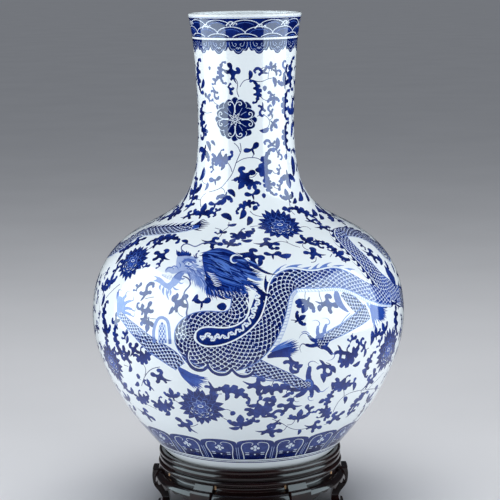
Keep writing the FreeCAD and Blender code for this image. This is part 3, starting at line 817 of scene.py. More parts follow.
def dragon_body():
    """The coil, from the neck down, round and up to the hips."""
    fold = drawn_ribbon("186,352 194,359.5 203,361", [7.2, 8.4, 6.0], 30)
    fold.fill((0.68, 0))
    fold.scales(0, fold.length, -0.9, 0.9, 5.0, 4.5)
    body = drawn_ribbon(
        """239.5,290 240,303 237,313.5 227,319.2 212,319.2 200,320 190.5,324.5 184.2,333
        185.4,344 194,352.8 207,357.2 221,358.6 235.5,356 250,348.6 262.5,337 270.3,323.5
        274.6,311.5 277.4,300 279.6,291 285,283 292.5,279 302,279 315,279.6 329,277.8 343,279
        356,284 368,290.6 380,296 391,298.6""",
        [8.0, 9.0, 9.0, 8.2, 8.1, 8.4, 9.4, 10.6, 10.8, 10.8, 12.2, 14.0, 15.6, 15.6, 13.6, 12.4,
         11.8, 11.4, 11.6, 11.6, 11.2, 10.4, 9.6, 10.6, 10.6, 10.2, 9.6, 8.2, 6.4], 420)
    end = body.length
    belly, top = body.nearest(262, 337), body.nearest(302, 279)
    neck, turn = body.nearest(240, 303), body.nearest(185, 338)
    # belly strip with fine cross strokes
    body.fill((0.02, 0), (0.12, 0), a0=belly, b0=-1.34, b1=-1.0)
    a = belly
    while a < end - 3:
        wall_line(body.map([a, a + 1.6, a + 2.6], [-1.0, -1.18, -1.34]), 0.26, (0.45, 0.1))
        a += 3.6
    body.edge(-1.34, 0.24, (0.26, 0.1), a0=belly)
    # fins on the back
    flames(body, 1, body.nearest(263, 312) - 8, body.nearest(272, 282), 10.5, 7.2,
           (0.96, 0), (0.92, 0), root=0.98)
    flames(body, 1, body.nearest(276, 284), body.nearest(352, 283), 13.5, 6.6,
           (0.46, 0.12), (0.52, 0.2), root=0.98, lean=0.9)
    body.fill((0.46, 0.12), a0=body.nearest(276, 284), a1=body.nearest(350, 283),
              b0=1.0, b1=1.24)
    body.fill((0.82, 0), a0=neck - 12)

    def fade(a):
        if a > top - 14:
            return max(0.80, 1.0 - 0.20 * (a - top + 14) / 60.0)
        return 1.0
    body.fill((0.66, 0), a0=top - 10, a1=top + 26)
    body.fill((0.62, 0.1), a0=top + 26)
    body.scales(turn - 6, end - 1, -0.95, 0.84, 5.5, 5.0, fade=fade)
    body.scales(neck - 12, turn - 7, -0.92, 0.84, 5.2, 4.7)
    body.edge(-1.0, 0.5, (0.42, 0.1))


def body_belt():
    """Belt of white cloud shapes inside the coil, and the lobed outline below it."""
    belt = drawn_ribbon("""196.2,336.4 204,337.2 215,337.4 227,335.6 238,331 248,323.6 255,313
                        258.6,301 259.4,291""", [4.6, 8.6, 8.9, 7.4, 6.6, 5.8, 5.4, 4.8, 3.0], 110)
    belt.fill((0.82, 0), (0.97, 0), b0=-1.08, b1=1.08)
    # x, y, size
    clouds = points("""202.4,337.6,1 208.4,334.4,0.9 212.6,339.4,0.9 217.6,336,1
        225,337.2,0.75 232,333.4,0.85 239.6,330.4,0.75 246.4,324.4,1 252.4,316.6,0.85
        254,309.4,1.05 257.6,303.4,0.9 256.6,295.6,1.25""")
    for (x0, y0, _), (x1, y1, _) in zip(clouds, clouds[1:]):
        dx, dy = x1 - x0, y1 - y0
        brush.stroke([(x0, y0), (x0 + 0.35 * dx - 0.25 * dy, y0 + 0.35 * dy + 0.25 * dx),
                      (x0 + 0.65 * dx + 0.22 * dy, y0 + 0.65 * dy - 0.22 * dx), (x1, y1)],
                     0.95, (0.05, 0), n=12, thin=0.6)
    a = np.linspace(0, 2 * math.pi, 18, endpoint=False)
    for x, y, k in clouds:
        r = 2.5 * k * (1 + 0.16 * np.cos(3 * a + x) + 0.08 * np.cos(5 * a + y))
        brush.fill(np.column_stack([x + 1.05 * r * np.cos(a) + 0.4 * np.sin(a),
                                    y + r * np.sin(a) * 0.95]), (0.05, 0))
        brush.line([(x - 1.2 * k, y + 0.8 * k), (x, y - 0.5 * k), (x + 1.1 * k, y + 0.3 * k)],
                   0.30, (0.60, 0), n=9)
    brush.line("""246.4,299.6 249,307 247.6,315.6 241.6,322.2 232,326.6 220,327.6 207,327
        199.4,329 195,334.6 197,341.4 203.4,345.6 212.5,346.4 222,344.9 232.4,341.2 243,335.4
        252.2,328 259.4,319.2 263.4,310 266,300 267.6,290 269.8,281.6 274.6,274.8 281.4,270.4
        290,268 300,268.9 311,270.4 321,269.2 332,267 342,268.4 352,272.6 362,278.4 370,283""",
               0.80, (0.01, 0), n=200)
    thickness = np.concatenate([np.linspace(1.2, 2.2, 13), np.linspace(2.2, 1.2, 13)])
    for lobe in ("188.6,349 187.2,356.6 190.6,365 197.6,369.8 204,369.6 208.4,365.2",
                 "207.6,364.6 212,370.8 220,374 228,373 232.4,368.6",
                 "231.6,368.4 237,374 243.6,376 250,374.8 254.4,370.6"):
        brush.line(lobe, thickness, (0.92, 0.15), n=26)
        q = cubic(lobe, 26)
        center = q.mean(0) + [0, -6]
        brush.band(center + (q - center) * 0.84, 0.42, (0.04, 0))
    # hair at the shoulder of the right front leg
    tuft(brush, "268,357 294.5,339.5 297,343 298.4,347 296.6,351.4 290,357.6", 2.9, (0.90, 0),
         (0.80, 0), 17, spread=-1.2)
    tuft(brush, "270,352 290,338 295,341 297,345", 0.9, (0.60, 0), (0.50, 0), 8, spread=-0.6)


def dragon_face():
    """Head looking left: whiskers, pale face, jaw, beard, mouth and eyes; the pale grey-blue of the
    face, cheeks and beard is partly painted reflection of the left softbox.
    """
    brush.line("""189,253.6 184,251.6 181.2,248.4 182.8,245.2 188,244 195,246.4 202,243.6
               209,242.8 218,243.8""", 0.55, (0.78, 0.5), n=44)
    brush.line("""183,276.2 188.6,279 190.2,284.4 186.8,289 184,294.4 186,299.6 187.8,305.6
               186.6,312 187.2,318""", np.linspace(0.6, 0.95, 44), (0.80, 0.5), n=44)
    # face: pale grey-blue, partly painted reflection of the left softbox
    brush.fill(cubic("""177.2,256.4 184,255 191,256 197,258 202,262 204.4,268 205,276 202,283
        196,280 191,275.4 186,273.6 182.4,273.2 178.4,273 174.6,273.6 171.2,273.4 168.2,272
        165.6,272.6 165,270.2 167,267.8 170.2,266.9 173,267.6 175.2,266.6 176.2,262.2
        177.2,256.4""", 110), (0.30, 0.40), (0.44, 0.34), (172, 270), (205, 272))
    # lower jaw
    brush.fill(cubic("""152.6,275.4 156.4,276.4 160.6,277.8 163.8,280.8 167.4,283.2 170.4,281.2
        173,277.4 176,274 180.2,272.4 184.4,273.2 182.4,276.2 180.8,280.2 178,283.4
        175.4,285.8 172.2,287.8 169.4,290.4 167,288.8 164.4,287.4 161.6,284.8 158.2,282.6
        155.4,281.4 152.2,281.2 156.4,279.2 152.6,275.4""", 110),
               (0.46, 0.34), (0.46, 0.38), (156, 278), (182, 276))
    # cheek strokes
    for _ in range(64):
        t = rnd.rand()
        x0, y0 = 180 + 20 * t, 257.5 + 4 * t + rnd.uniform(0, 13) * (0.6 + 0.4 * t)
        length = rnd.uniform(4, 9)
        angle = math.radians(rnd.uniform(10, 46) + (12 if y0 > 268 else 0))
        x1, y1 = min(x0 + length * math.cos(angle), 206), y0 + length * math.sin(angle)
        hair([(x0, y0), ((x0 + x1) / 2 + 0.5, (y0 + y1) / 2 - 0.7), (x1, y1)],
             rnd.uniform(0.4, 0.95), rnd.choice([0.16, 0.34, 0.46, 0.56, 0.62]), 0.36, n=9)
    # beard
    for i in range(60):
        t = i / 59.0
        x0, y0 = 187 + 17 * t + rnd.uniform(-1, 1), 270 + 9 * t + rnd.uniform(-2, 2)
        x1, y1 = 190 + 20 * t + rnd.uniform(-1, 1), 281 + 15 * t + rnd.uniform(-4, 3)
        hair([(x0, y0), ((x0 + x1) / 2 + 1.6, (y0 + y1) / 2 - 0.5), (x1, y1)],
             rnd.uniform(0.45, 0.95), rnd.choice([0.24, 0.38, 0.50, 0.58]) + 0.14 * t,
             0.38 - 0.20 * t, n=11)
    # teeth
    for k in range(7):
        x, y = 161.6 + 1.5 * k, 273.2 + 0.3 * k
        hair([(x, y), (x + 1.1, y + 2.0), (x + 1.6 + 0.1 * k, y + 4.2 + 0.45 * k)],
             0.30, 0.62, 0.6, n=8)
    # lip, nostril, muzzle and brow
    hair("160.8,274.8 164.6,276.6 168.6,279 171.6,279.6", 0.30, 0.55, 0.6, n=12)
    hair("165.4,271.4 167.4,268.2 171,267.4 173.6,268.6 172.4,270.4", 0.75, 0.54, 0.5, n=14)
    hair("170.4,268.6 174.4,266 177.6,267.4 178.2,270.6", 0.6, 0.56, 0.1, n=12)
    hair("173.4,277.6 177.4,273.6 182,271.4 188,271.2", 0.6, 0.60, 0.4, n=14)
    hair("181.4,263 185.4,260 190.4,259.4 194.4,260.8", 1.1, 0.58, 0.25, n=16)
    # eye
    brush.fill(cubic("""184.8,264.2 187.2,262.8 190.4,262.9 192.6,264.2 190,265 186.8,265
                     184.8,264.2""", 18), (0.12, 0))
    brush.blob(188.8, 263.9, 0.8, (0.80, 0), n=10)
    hair("184.2,265.2 188.6,266.2 193.4,265.2", 0.45, 0.56, n=10)
    hair("178.6,262 180.4,265 179.4,268.4", 0.55, 0.52, 0.1, n=10)
    # forelock
    for k in range(15):
        t = k / 14.0
        x0, y0 = 178.0 + 11.5 * t, 256.4 - 0.5 * math.sin(3.1 * t)
        tip = (249.6, 252.4, 250.4, 252.8, 251.4)[k % 5] + 1.2 * t
        hair([(x0, y0), (x0 - 0.4 + 1.2 * t, y0 - 2.4), (x0 - 1.6 + 2.6 * t, tip)],
             1.25, rnd.choice([0.95, 0.88, 0.78]), n=9)
    hair("177.6,256.2 183.6,254.6 190.4,255.6", 1.3, 0.86, n=12)
    # flame-shaped whiskers of the muzzle
    for path, half in (("164.4,286 163,290.6 164.2,296", 1.2),
                       ("166.8,288 166.8,293.6 169.2,300.6", 1.0),
                       ("169.8,288.6 170.6,292.6 169.4,296.4", 1.0),
                       ("172.6,286.4 175.6,289.2 179.4,289.6", 0.9),
                       ("161.6,283.6 159.8,287.2 160.6,290.8", 1.0),
                       ("178.2,281.6 181,283.4 184,282.4", 0.8),
                       ("179.8,277.6 182.6,279 185.2,277.8", 0.8),
                       ("168.2,289 168.4,292 167.2,295", 0.8)):
        hair(path, half, rnd.choice([0.46, 0.50]), 0.36, n=13)
    # second eye beside the mane
    brush.fill(cubic("""196,259.6 199.6,258.8 202.6,261.2 203.8,265.2 200.6,266.2 197.4,263.6
                     196,259.6""", 22), (0.10, 0.2))
    brush.blob(199.8, 261.2, 0.75, (0.84, 0.2), n=10)
    for path in ("198,252.4 196,255.4 197.8,258", "193.6,254.6 195.4,257.6 199,257",
                 "199.6,250.2 197.6,252.2"):
        hair(path, 0.8, 0.85, 0.3, n=8)


def dragon_mane():
    """Dark streaming hair with a lighter wash in the middle, ear curl and horns."""
    brush.fill(cubic("""202,254 208,251.6 217,251.2 227,252.4 237,256 245,261 250,267 249,274
        247,280 243,287 235,290 225,289 214,287 208,282 204.6,272 202.6,262 202,254""", 80),
               (0.84, 0), (0.74, 0), (205, 255), (246, 282))
    flow = [points(row) for row in (
        "199.6,252.6 219,248.6 238,255 258,267.4", "199.6,254 222,255 242,263 263,271.4",
        "200,257 222,262 240,270 259,273.6", "200.6,262 220,268 236,274 256,279.6",
        "201.4,267 218,275 234,281 255,287", "202.6,273 216,281 230,287 248,293.6",
        "204,278 213,287 224,292 238,298", "205,282 211,290 217,296 227,300.4")]
    for _ in range(190):
        k = rnd.uniform(0, len(flow) - 1.001)
        j = int(k)
        f = k - j
        q = cubic(flow[j] * (1 - f) + flow[j + 1] * f, 20)
        start, end = sorted(rnd.uniform(0, 1, 2))
        if end - start < 0.25:
            end = min(1.0, start + 0.4)
        q = q[int(start * 19):int(end * 19) + 1]
        if len(q) < 4:
            continue
        q = q + rnd.uniform(-0.8, 0.8, 2)
        density = rnd.choice([1.0, 0.97, 0.90, 0.80, 0.70, 0.58],
                             p=[.26, .2, .2, .16, .10, .08])
        x, y = q.mean(0)
        if (x - 225) ** 2 / 90 + (y - 268) ** 2 / 60 < 1 and rnd.rand() < 0.7:
            density = rnd.choice([0.66, 0.58, 0.52])
        hair(q[::2] if len(q) > 8 else q, rnd.uniform(0.5, 1.35), density, n=14)
    # lighter wash
    for path, half, density in (("214,259 221,262 228,268 232,275", 1.9, 0.57),
                                ("216,263 223,266 229,272", 1.5, 0.50),
                                ("219,261 226,264 232,269", 1.1, 0.52),
                                ("206,253 214,254 224,256.4", 0.9, 0.62),
                                ("232,277 242,279 250,282", 1.1, 0.56),
                                ("240,268 247,271 254,273", 1.0, 0.60),
                                ("210,257 215,259.4 219,263", 0.8, 0.58)):
        hair(path, half, density)
    for _ in range(26):
        t = rnd.rand()
        x, y = 206 + 30 * t, 256 + 9 * t + rnd.uniform(-2, 16)
        hair([(x, y), (x + 4, y + 1.6 + t), (x + 8.5, y + 4.2 + 1.6 * t)],
             rnd.uniform(0.25, 0.6), rnd.choice([1.0, 0.97, 0.5, 0.6]), n=9)
    # lower fringe
    for i in range(64):
        t = i / 63.0
        x0 = 206.4 + 38 * t
        y0 = 285 + 3.4 * math.sin(3 * t) + rnd.uniform(-2.4, 2)
        x1 = 207.4 + 41 * t + rnd.uniform(0, 4)
        y1 = 297 + rnd.uniform(-4, 2.4) + (3.4 if i % 5 == 0 else 0) - 3.0 * t
        hair([(x0, y0), ((x0 + x1) / 2 - 0.8, (y0 + y1) / 2 + 0.6), (x1, y1)],
             rnd.uniform(0.4, 0.8), rnd.choice([0.98, 0.9, 0.8, 0.66]), n=11)
    # strands off the back of the head
    for _ in range(22):
        t = rnd.rand()
        x0, y0 = 240 + 8 * rnd.rand(), 258 + 28 * t
        x1 = 255 + 9 * (1 - abs(t - 0.35)) + rnd.uniform(-2, 2)
        y1 = 264 + 27 * t + rnd.uniform(-1, 2)
        hair([(x0, y0), ((x0 + x1) / 2, (y0 + y1) / 2 + 1.2), (x1, y1)],
             rnd.uniform(0.35, 0.9), rnd.choice([0.95, 0.8, 0.62, 0.5]), n=10)
    # fine light hairs
    for i in range(8):
        t = i / 7.0
        x, y = 207 + 6.5 * t + rnd.uniform(-0.8, 0.8), 271.5 + 12.5 * t
        hair([(x, y), (x + 4, y + 2.0), (x + 9, y + 2.2 - 1.6 * t)], 0.42, 0.08, n=10)
    for i in range(9):
        x, y = 211 + 3.6 * i, 289.4 + 0.3 * i
        hair([(x, y), (x + 2.2, y + 3), (x + 3.2, y + 6.4)], 0.28, 0.16, n=8)
    # ear curl and horns
    brush.stroke("240,256.4 235,255 231.4,257.2 231,260.8 234,263 237.6,262", 0.95, (0.10, 0),
                 n=18)
    hair("236,259.6 243,260.6 250,264.4", 0.9, 0.52, n=12)
    hair("244,261 253,265.4 262,270.6 271,274 278,274.6", 1.5, 0.95, 0.05, n=26)
    hair("250,283 257,288.4 264,293.6 271,296 276,296.6", 1.7, 0.97, n=24)
    for path in ("252,276 256,277 260,276", "252,279 257,280.6 261,280",
                 "251,282 256,284.6 260,285", "253,273 257,273.4 260,272"):
        hair(path, 0.34, 0.5, 0.2, n=10)


def far_hind_leg():
    """Hip, leg and paw on the right flank, beyond the end of the drawn body."""
    angle, s = project("400,297")[0]
    r = radius(s)

    def place(offsets):
        return points(offsets) / [r, 1] + [angle, s]
    leg = Ribbon(place("-12,3 6,-1 24,-8 38,-22 42,-40 36,-56 27,-70"),
                 [12.0, 11.6, 12.4, 11.4, 8.6, 6.8, 5.4], 110)
    paw = wall_pen(*place("26,-74")[0])
    for path, half in (("0,2 -15,3 -19,1 -20,-3 -16.5,-5.5", 2.5),
                       ("0,0 -11,-10 -14,-13 -12,-17 -8,-17", 2.6),
                       ("2,-1 0,-15 0,-19 4,-21 7.5,-18.5", 2.6),
                       ("3,0 12,-10 15.5,-13 19.5,-11 19,-7", 2.5),
                       ("3,3 14,6 18,8 20.5,5 19,1.6", 2.2)):
        claw(paw, path, half, (0.80, 0), (0.90, 0))
    flames(leg, 1, 10, leg.length * 0.5, 10.0, 6.6, (0.95, 0), (0.9, 0), root=0.95)
    leg.fill((0.80, 0))
    leg.scales(1, leg.length - 1, -0.94, 0.94, 5.2, 4.6)
    leg.edge(-1.0, 0.6, (0.92, 0))
    leg.edge(1.0, 0.6, (0.92, 0))
    a = np.linspace(0, 2 * math.pi, 20, endpoint=False)
    paw.fill(np.column_stack([1.0 + 6.4 * np.cos(a), 0.5 + 5.6 * np.sin(a)]),
             (0.72, 0), (0.92, 0), (0, 6), (0, -5))
    knee = wall_pen(*place("50,-30")[0])
    tuft(knee, "-8,4 14,12 18,5 20,-3 17,-11 10,-16", 3.4, (0.80, 0), (0.66, 0), 12, spread=0.6)


# ----------------------------------------------------------------------------
# Scrolling stems and leaves
# ----------------------------------------------------------------------------
# one stem between commas-and-semicolons: sheet points, stems parted by semicolons
STEMS = """
233,76 237.5,83 237,91 239,97; 240,87 243.4,81.4 249,79.4 255,80.8 262,81.4 268,79 272,78;
255,81 257.6,84 258.6,88; 259,71 264,67.4 270,67.2; 268,79 268.6,73 270,68;
261,97 264,99.6 269,100.4 273,99.6; 257,116.4 262,115 267,117 269.4,121 268.6,126 266,129;
269.4,120 272,118.4 273,114; 212,112 207,113 204,112; 213,98 214,102 219,105.4;
240,143 241,150 238,158 235,166 232,174 227,181 221,187.5 215,190.4 209,192;
234,143 238,147 240,152; 236,163 243,159 251,157.6 258,158.6 264,163; 252,158 253.4,154 252,150;
226,161 230,166 232,172; 246,176 253,177 257,173; 221,187.6 224,190 225,193;
272,183 275,187.6 279,189; 272,170 275,173.4 279,173.6; 268,152 272,150 277,150 280,153;
276,150 277.6,146; 286,148 286.8,155; 201,207 200.4,201 203,195.6 206,193; 201,200 196,199 192,198;
202,179 204,183.4 209,184; 250,211 253,214 258,216 263,217; 262,226.4 256,226 250,227;
229,222 228,227 223,231 221,235 217,239; 221,229.6 215,228; 300,227.4 306,226.6 311,229.4;
289,200 290,206 292,212 295,214.6; 285,210 290,211.6; 274,242.4 280,241.4 287,242.6 294,245.6
300,247.4; 288,242.6 286,240.6; 304,242.4 302.6,245.6 306,249 309,250; 316,257 315.6,261
311,262.4; 287,256 286.4,260; 330,257 332,254; 242,245 236,244.6 226,244.6 218,244.6;
305.6,291 305,298 306,302; 319,291.4 320,297 322,303 320.6,308; 291,320 296,320.4 300,321;
201,303 200.4,310; 176.6,309 179,314 183,317; 150,318.6 156,319; 120,284 112,291 106,298;
145,299 150,297.6 154,297; 160,367 152,369 146,374.6 143,381 141.6,386; 145,375 145.6,369 143,364;
137,377 141,380; 124,365 128,366.4; 146,404 151,406.4 157,409.4; 171,400 175,400.6 179,403;
222,410.6 227,409.4 232,412; 221,416.6 227,420 231,422 238,422.4; 198,424 195,425.6 190,426.6;
214,396 217.4,394.4 222,394; 217,394 216.4,389.6; 273.6,380.6 272,385 270,388; 281,414 286,410.4;
272,419 277,421 283,424 290,428 299,429.6 307,428; 287,425 292,424 295,420;
287,426 284,430 278,432.4; 380,388 368,389.4 357,391 349,393.4 342,398 337,404 333,412;
344,396 343.6,390 342,387; 361,390.6 361,396 359,400; 329,397 326,402 326.6,408;
384,372 376,381 368,389; 353,333 351,340 349,347; 291,370 290,366; 330,364 326,362.6;
364,356 366,350 369,348; 372,357 368,360"""

# kind, sheet x and y, degrees, size (negative: mirrored), density (else 1), grey (else 0); density
# below 1 and grey on leaves in the washed parts and low on the belly are partly painted reflection
NECK_LEAVES = """
run 221.5 72 90 .95 .92 .2, fork 232.5 72.5 -62 -1.05, comma 216 80 60 .75 .92 .3,
comma 230.5 90.5 -70 .75, leaf 250 75 0 1 1 .1, run 256.5 92 -82 1, curl 262 71.5 20 -.75 .92 .3,
tri 271 66.5 10 .55 .92 .4, curl 276.5 71 -60 .65 .92 .4, leaf 274.5 82 -20 1.2 .92 .4,
drop 264.6 88 0 .9 .92 .4, comma 271 94 150 .7 .92 .3, tri 274 99.5 180 .75 .92 .3,
curl 285.5 69 80 .7 .92 .1, run 291 75 90 -1.1, tri 284.4 82 10 .9 1 .1, run 285.6 104 88 1.15 .95,
tri 292 110 0 .9 .92 .2, curl 262 109 120 -.65 .95 .3, curl 270.6 112 70 .6 .92 .4,
tri 274 124 -130 .7 .92 .4, leaf 264.6 130 75 1.15 .92 .3, run 286 136 92 1.1,
leaf 291.6 130 10 1.1 .92 .1, curl 271 144 10 -.7 .92 .3, leaf 277 144 8 1.5 .92 .3,
curl 279 154 -90 .55 .92 .3, drop 285.6 156.5 0 .9 .95, run 198.8 75 92 1.1, leaf 202.6 84 30 1,
drop 209.4 68 0 .6 .92 .4, comma 207.6 97 -40 -.8 .95 .1, curl 214.6 92.5 150 -.65 .92 .3,
drop 217.4 106.6 0 .8 .92 .3, run 202.6 119 90 -1.15, curl 204 131.5 200 .75, tri 204 153 160 1,
leaf 208.6 146 -40 1.2 .95, leaf 213 143 -60 .8 .92 .3, crest 220 158 180 1.15 .92 .2,
comma 212.6 166 100 .7 .92 .3, leaf 222.6 166 10 1 .92 .3, bow 252 149.4 22 1.15,
run 267 168 84 -1.75 .92 .15, run 268.6 184 100 1.05 .92 .15, comma 279 171 60 -.65 .92 .4,
comma 279.6 187 60 -.65 .92 .4, drop 259 169.6 90 1.2, fork 244 175.6 12 1.25,
tri 243.6 182.4 150 1, tri 254 184.4 200 .7 .95, bow 252.6 194.6 8 1.1, drop 263.6 195.4 0 .85 .92 .3,
leaf 231.6 193 -55 1.2, tri 225 198 172 .95 .92 .1, leaf 220.6 195.6 70 .8 .92 .3,
bow 215 204.4 4 1.1 .92 .3, comma 217.6 210.4 40 .6 .92 .4, bow 215 180.4 20 -1 .92 .3,
run 247 205.6 24 1.05, leaf 242.4 214.4 8 1.5, drop 255 207.6 30 1.1, leaf 249 221 4 1.5,
leaf 226.6 217 -62 1.7 1 .1, leaf 232 224.8 75 1 .95 .2, comma 222 232.6 20 .8,
leaf 202.4 174.4 18 1.4, leaf 206.6 186.6 6 .9 .92 .2, tri 194.4 190.4 20 .95,
tri 288 178.4 180 1.15 .95, leaf 292.8 166 6 1.8 1 .1, tri 287.6 196.6 6 1, leaf 294.6 201 50 .9 1 .2,
leaf 300.4 196.8 48 1.3 .95 .1, drop 285 208.4 80 1.2 .92 .1"""
SHOULDER_LEAVES = """
tri 202 212 12 1.35, curl 208.6 214.4 -30 .75 1 .1, fork 188.6 215.4 20 .8 1 .1,
run 303.4 213 -38 1.35, curl 312 221 -50 .85 1 .1, fork 323 227 -20 .95 1 .1,
leaf 314 213 52 1.3 1 .1, leaf 321 217 52 1.2 1 .1, tri 326 213 50 1.2 1 .1,
leaf 331 219 50 1.2 .92 .1, leaf 318 209 52 1.2 .95 .1, crest 241.4 234.4 190 1.15,
leaf 249.6 231.4 80 1 1 .1, leaf 247 240.6 82 1.2 1 .1, fork 212.6 242.4 -22 1.2,
tri 230.4 243.2 -18 1.05 .95, run 166 239 16 1.75, fork 157 243.4 60 .9, leaf 185 241.6 -70 1.1 1 .2,
fork 161.4 255.4 -8 -1.25, comma 160 263 100 .7 .92 .3, fork 251.6 255.6 -24 1.4,
leaf 259.6 262.4 4 1.2, leaf 246 253.6 80 1.3, bow 272.6 254.8 -6 1.2, leaf 284.6 255.4 86 1.6 .92 .2,
fork 267.6 243.6 -14 1.25, drop 277 248 60 1, tri 308 240.6 -58 1.15, leaf 299.6 242 84 1 1 .1,
curl 318.4 243.2 120 -.7 1 .2, run 326.8 245.6 -62 1, fork 314 253.4 -8 -1.15 .92 .15,
leaf 311.6 250.8 20 .8 1 .1, tri 339 254 -70 1.05 .95, comma 333.6 249.6 10 .75 1 .1,
comma 347 260 10 .7 1 .2, fork 171.6 214.6 22 1.1 1 .1, leaf 180.6 207.6 -40 1.1 1 .1,
leaf 184.6 199 -30 1.3 1 .1, curl 190.4 204.4 40 .8 1 .1, leaf 176 213 -55 1.2 1 .1,
comma 193 197.6 10 .8 1 .1, leaf 188 192 -20 1.2, leaf 301.4 186 25 1.3 1 .1,
leaf 306.6 196 35 1.3 1 .1, fork 137 241 32 1.05, tri 126 248 40 1.1, leaf 119.4 258 -20 1.3 1 .1,
curl 117 268 60 .8 1 .1, fork 372 255 -52 1.05 1 .1, leaf 380 260 38 1.4 .95 .1,
leaf 387 266 30 1.2 1 .1, comma 146.6 266 20 .7 .92 .3, leaf 393 268 25 1 .92 .1"""
LEFT_LEAVES = """
tri 111 281 20 .95 .95 .1, curl 146 292 30 1.15 .92 .3, comma 138.6 286.4 60 .8 .92 .3,
fork 146.4 311 60 1.1 .92 .3, curl 141.6 309 120 .75 .92 .35, tri 148 324 175 1 .92 .3,
leaf 143 319 80 .8 .92 .3, fork 178.6 303 40 1.25 .92 .3, leaf 171 310.6 20 .9 .92 .35,
leaf 176 297 10 .9 .92 .3, bow 202 302.4 0 1.15, leaf 195 298 30 .9 .92 .3, drop 222.4 306.2 88 1.7,
tri 299.6 319 -60 .78, tri 306.6 304.6 150 1.15 .92 .2, drop 299.6 305.4 80 1 .92 .2,
fork 328 303.6 -24 1.25 .92 .2, drop 319.4 307.6 10 1.1 .92 .3, fork 115.6 322 80 .9 1 .1,
run 116.6 338 110 1.2 .95, comma 125.6 334 60 .9 .92 .3, leaf 127 339.6 10 .9 .92 .35,
run 104.6 315 95 1.2, tri 106.4 330 20 1 1 .1, leaf 103 300 10 1.3 1 .1, tri 104.6 287 10 1 .95 .1,
run 107.6 343 100 1, curl 119.4 352.6 140 .9 1 .1, fork 126.4 356.6 100 1.15,
crest 142.6 356 200 1.2 .95 .1, fork 133.6 349.6 40 1, leaf 130 368.6 30 1.1 .95 .2,
drop 138 376 20 1.1 .92 .3, fork 160 377 -2 -1.2 .95 .2, leaf 148 383 8 1.1 .92 .3,
crest 141.4 397.6 190 1.15 .92 .35, leaf 137 384 50 1 .92 .3, tri 124.6 386 -50 .95 .92 .2,
curl 149 386 100 .7 .92 .3, tri 127 398 20 .9 .92 .3, crest 161.4 404.6 186 1.35 .92 .3,
comma 170.4 405.6 -40 .8 .92 .3, leaf 167.6 413.4 40 1.1 .92 .3, tri 172 395 8 1 .92 .3,
fork 146.6 414.4 -30 1.15 .92 .3, leaf 134 408 40 1.1 .92 .3, leaf 131.6 391 30 1.2 .92 .2"""
LOWER_LEAVES = """
fork 186 425 -38 -1.35 .92 .3, run 234 393 -18 1.75 .92 .3, curl 211.6 389 140 -.95 .92 .35,
drop 225 388.6 20 1.7 .92 .3, leaf 226.6 396.6 6 1.1 .92 .3, tri 240.4 423 4 1.4 .92 .35,
leaf 234.6 428 80 1.2 .92 .3, drop 232.6 413 30 1.1 .92 .3, fork 258 386 -30 1.45 .92 .25,
run 275 390.6 6 -1.55 .92 .25, leaf 286.4 395 50 1 .92 .25, leaf 286 386.6 -70 1.3 .92 .25,
crest 259.6 408.6 200 1.55 .92 .3, leaf 268.6 400.4 -80 1.4 .92 .3, comma 254.4 421 0 .9 .92 .35,
curl 272 414.6 -20 1.15 .92 .3, leaf 252 405.4 84 1.1 .92 .3, fork 289 405.6 2 -1.25 .92 .3,
tri 299 416.6 2 1.15 .92 .35, leaf 291.6 417.6 76 .95 .92 .35, fork 270 431 -12 1.35 .92 .35,
curl 275 424.4 -160 .8 .92 .35, crest 324.4 414.4 -52 1.05 .92 .3, fork 314 426.6 -28 1.15 .92 .3,
comma 308.6 408.6 -60 -1.05 .92 .35, leaf 299 432 -10 .9 .92 .4, drop 322 400.8 60 1.2 .92 .3,
run 330 398.6 84 1.15 .92 .3, crest 342.6 383.4 160 1.35 .92 .3, leaf 332.6 386 -20 1.1 .92 .3,
leaf 354 386.4 -22 1.2 .92 .3, leaf 345 400 -30 1.2 .92 .3, run 356.6 402.6 52 -1.35 .92 .3,
fork 370 381 30 1.1 .92 .2, fork 335.4 417.6 24 1.25 .92 .35, leaf 328.6 422.6 -60 1 .92 .35,
leaf 362 396 -35 1.2 .92 .3, tri 369 399 -30 1 .92 .3, leaf 376 388.6 -50 1.2 .92 .2,
curl 352 411 20 .9 .92 .3"""
RIGHT_LEAVES = """
crest 349 356.6 210 1.45 .97, curl 341 353.6 150 -1.1 .97 .1, leaf 356.6 364 70 1.1 .95 .1,
curl 291.6 363.6 150 -1.15 .92 .4, leaf 298 366 84 1.1 .92 .4, curl 324.6 367.6 160 -1.2 .92 .4,
leaf 332.6 369.6 -55 1.3 .92 .35, leaf 323 378 -30 1.3 .92 .35, curl 363.6 346 80 .8 .92 .35,
leaf 364.8 353 0 .9 .92 .35, run 369 364 80 1.2 .95 .1, leaf 364 372.6 -40 1.2 .92 .2,
leaf 374 372 -30 1.1 .95 .1, leaf 372 338 0 1.6 .92 .25, tri 376 334 10 .8 .92 .2,
comma 380.6 341 60 .8 .92 .1, run 396.6 318 92 1.35, leaf 398 303 4 1.2 .95 .1,
comma 353.4 338.6 20 .8 .92 .4, tri 384 330 30 .9 .95, leaf 399.6 334 6 1.4 1 .1,
leaf 396 352 8 1.2 1 .1, run 391 371 70 1 1 .1"""


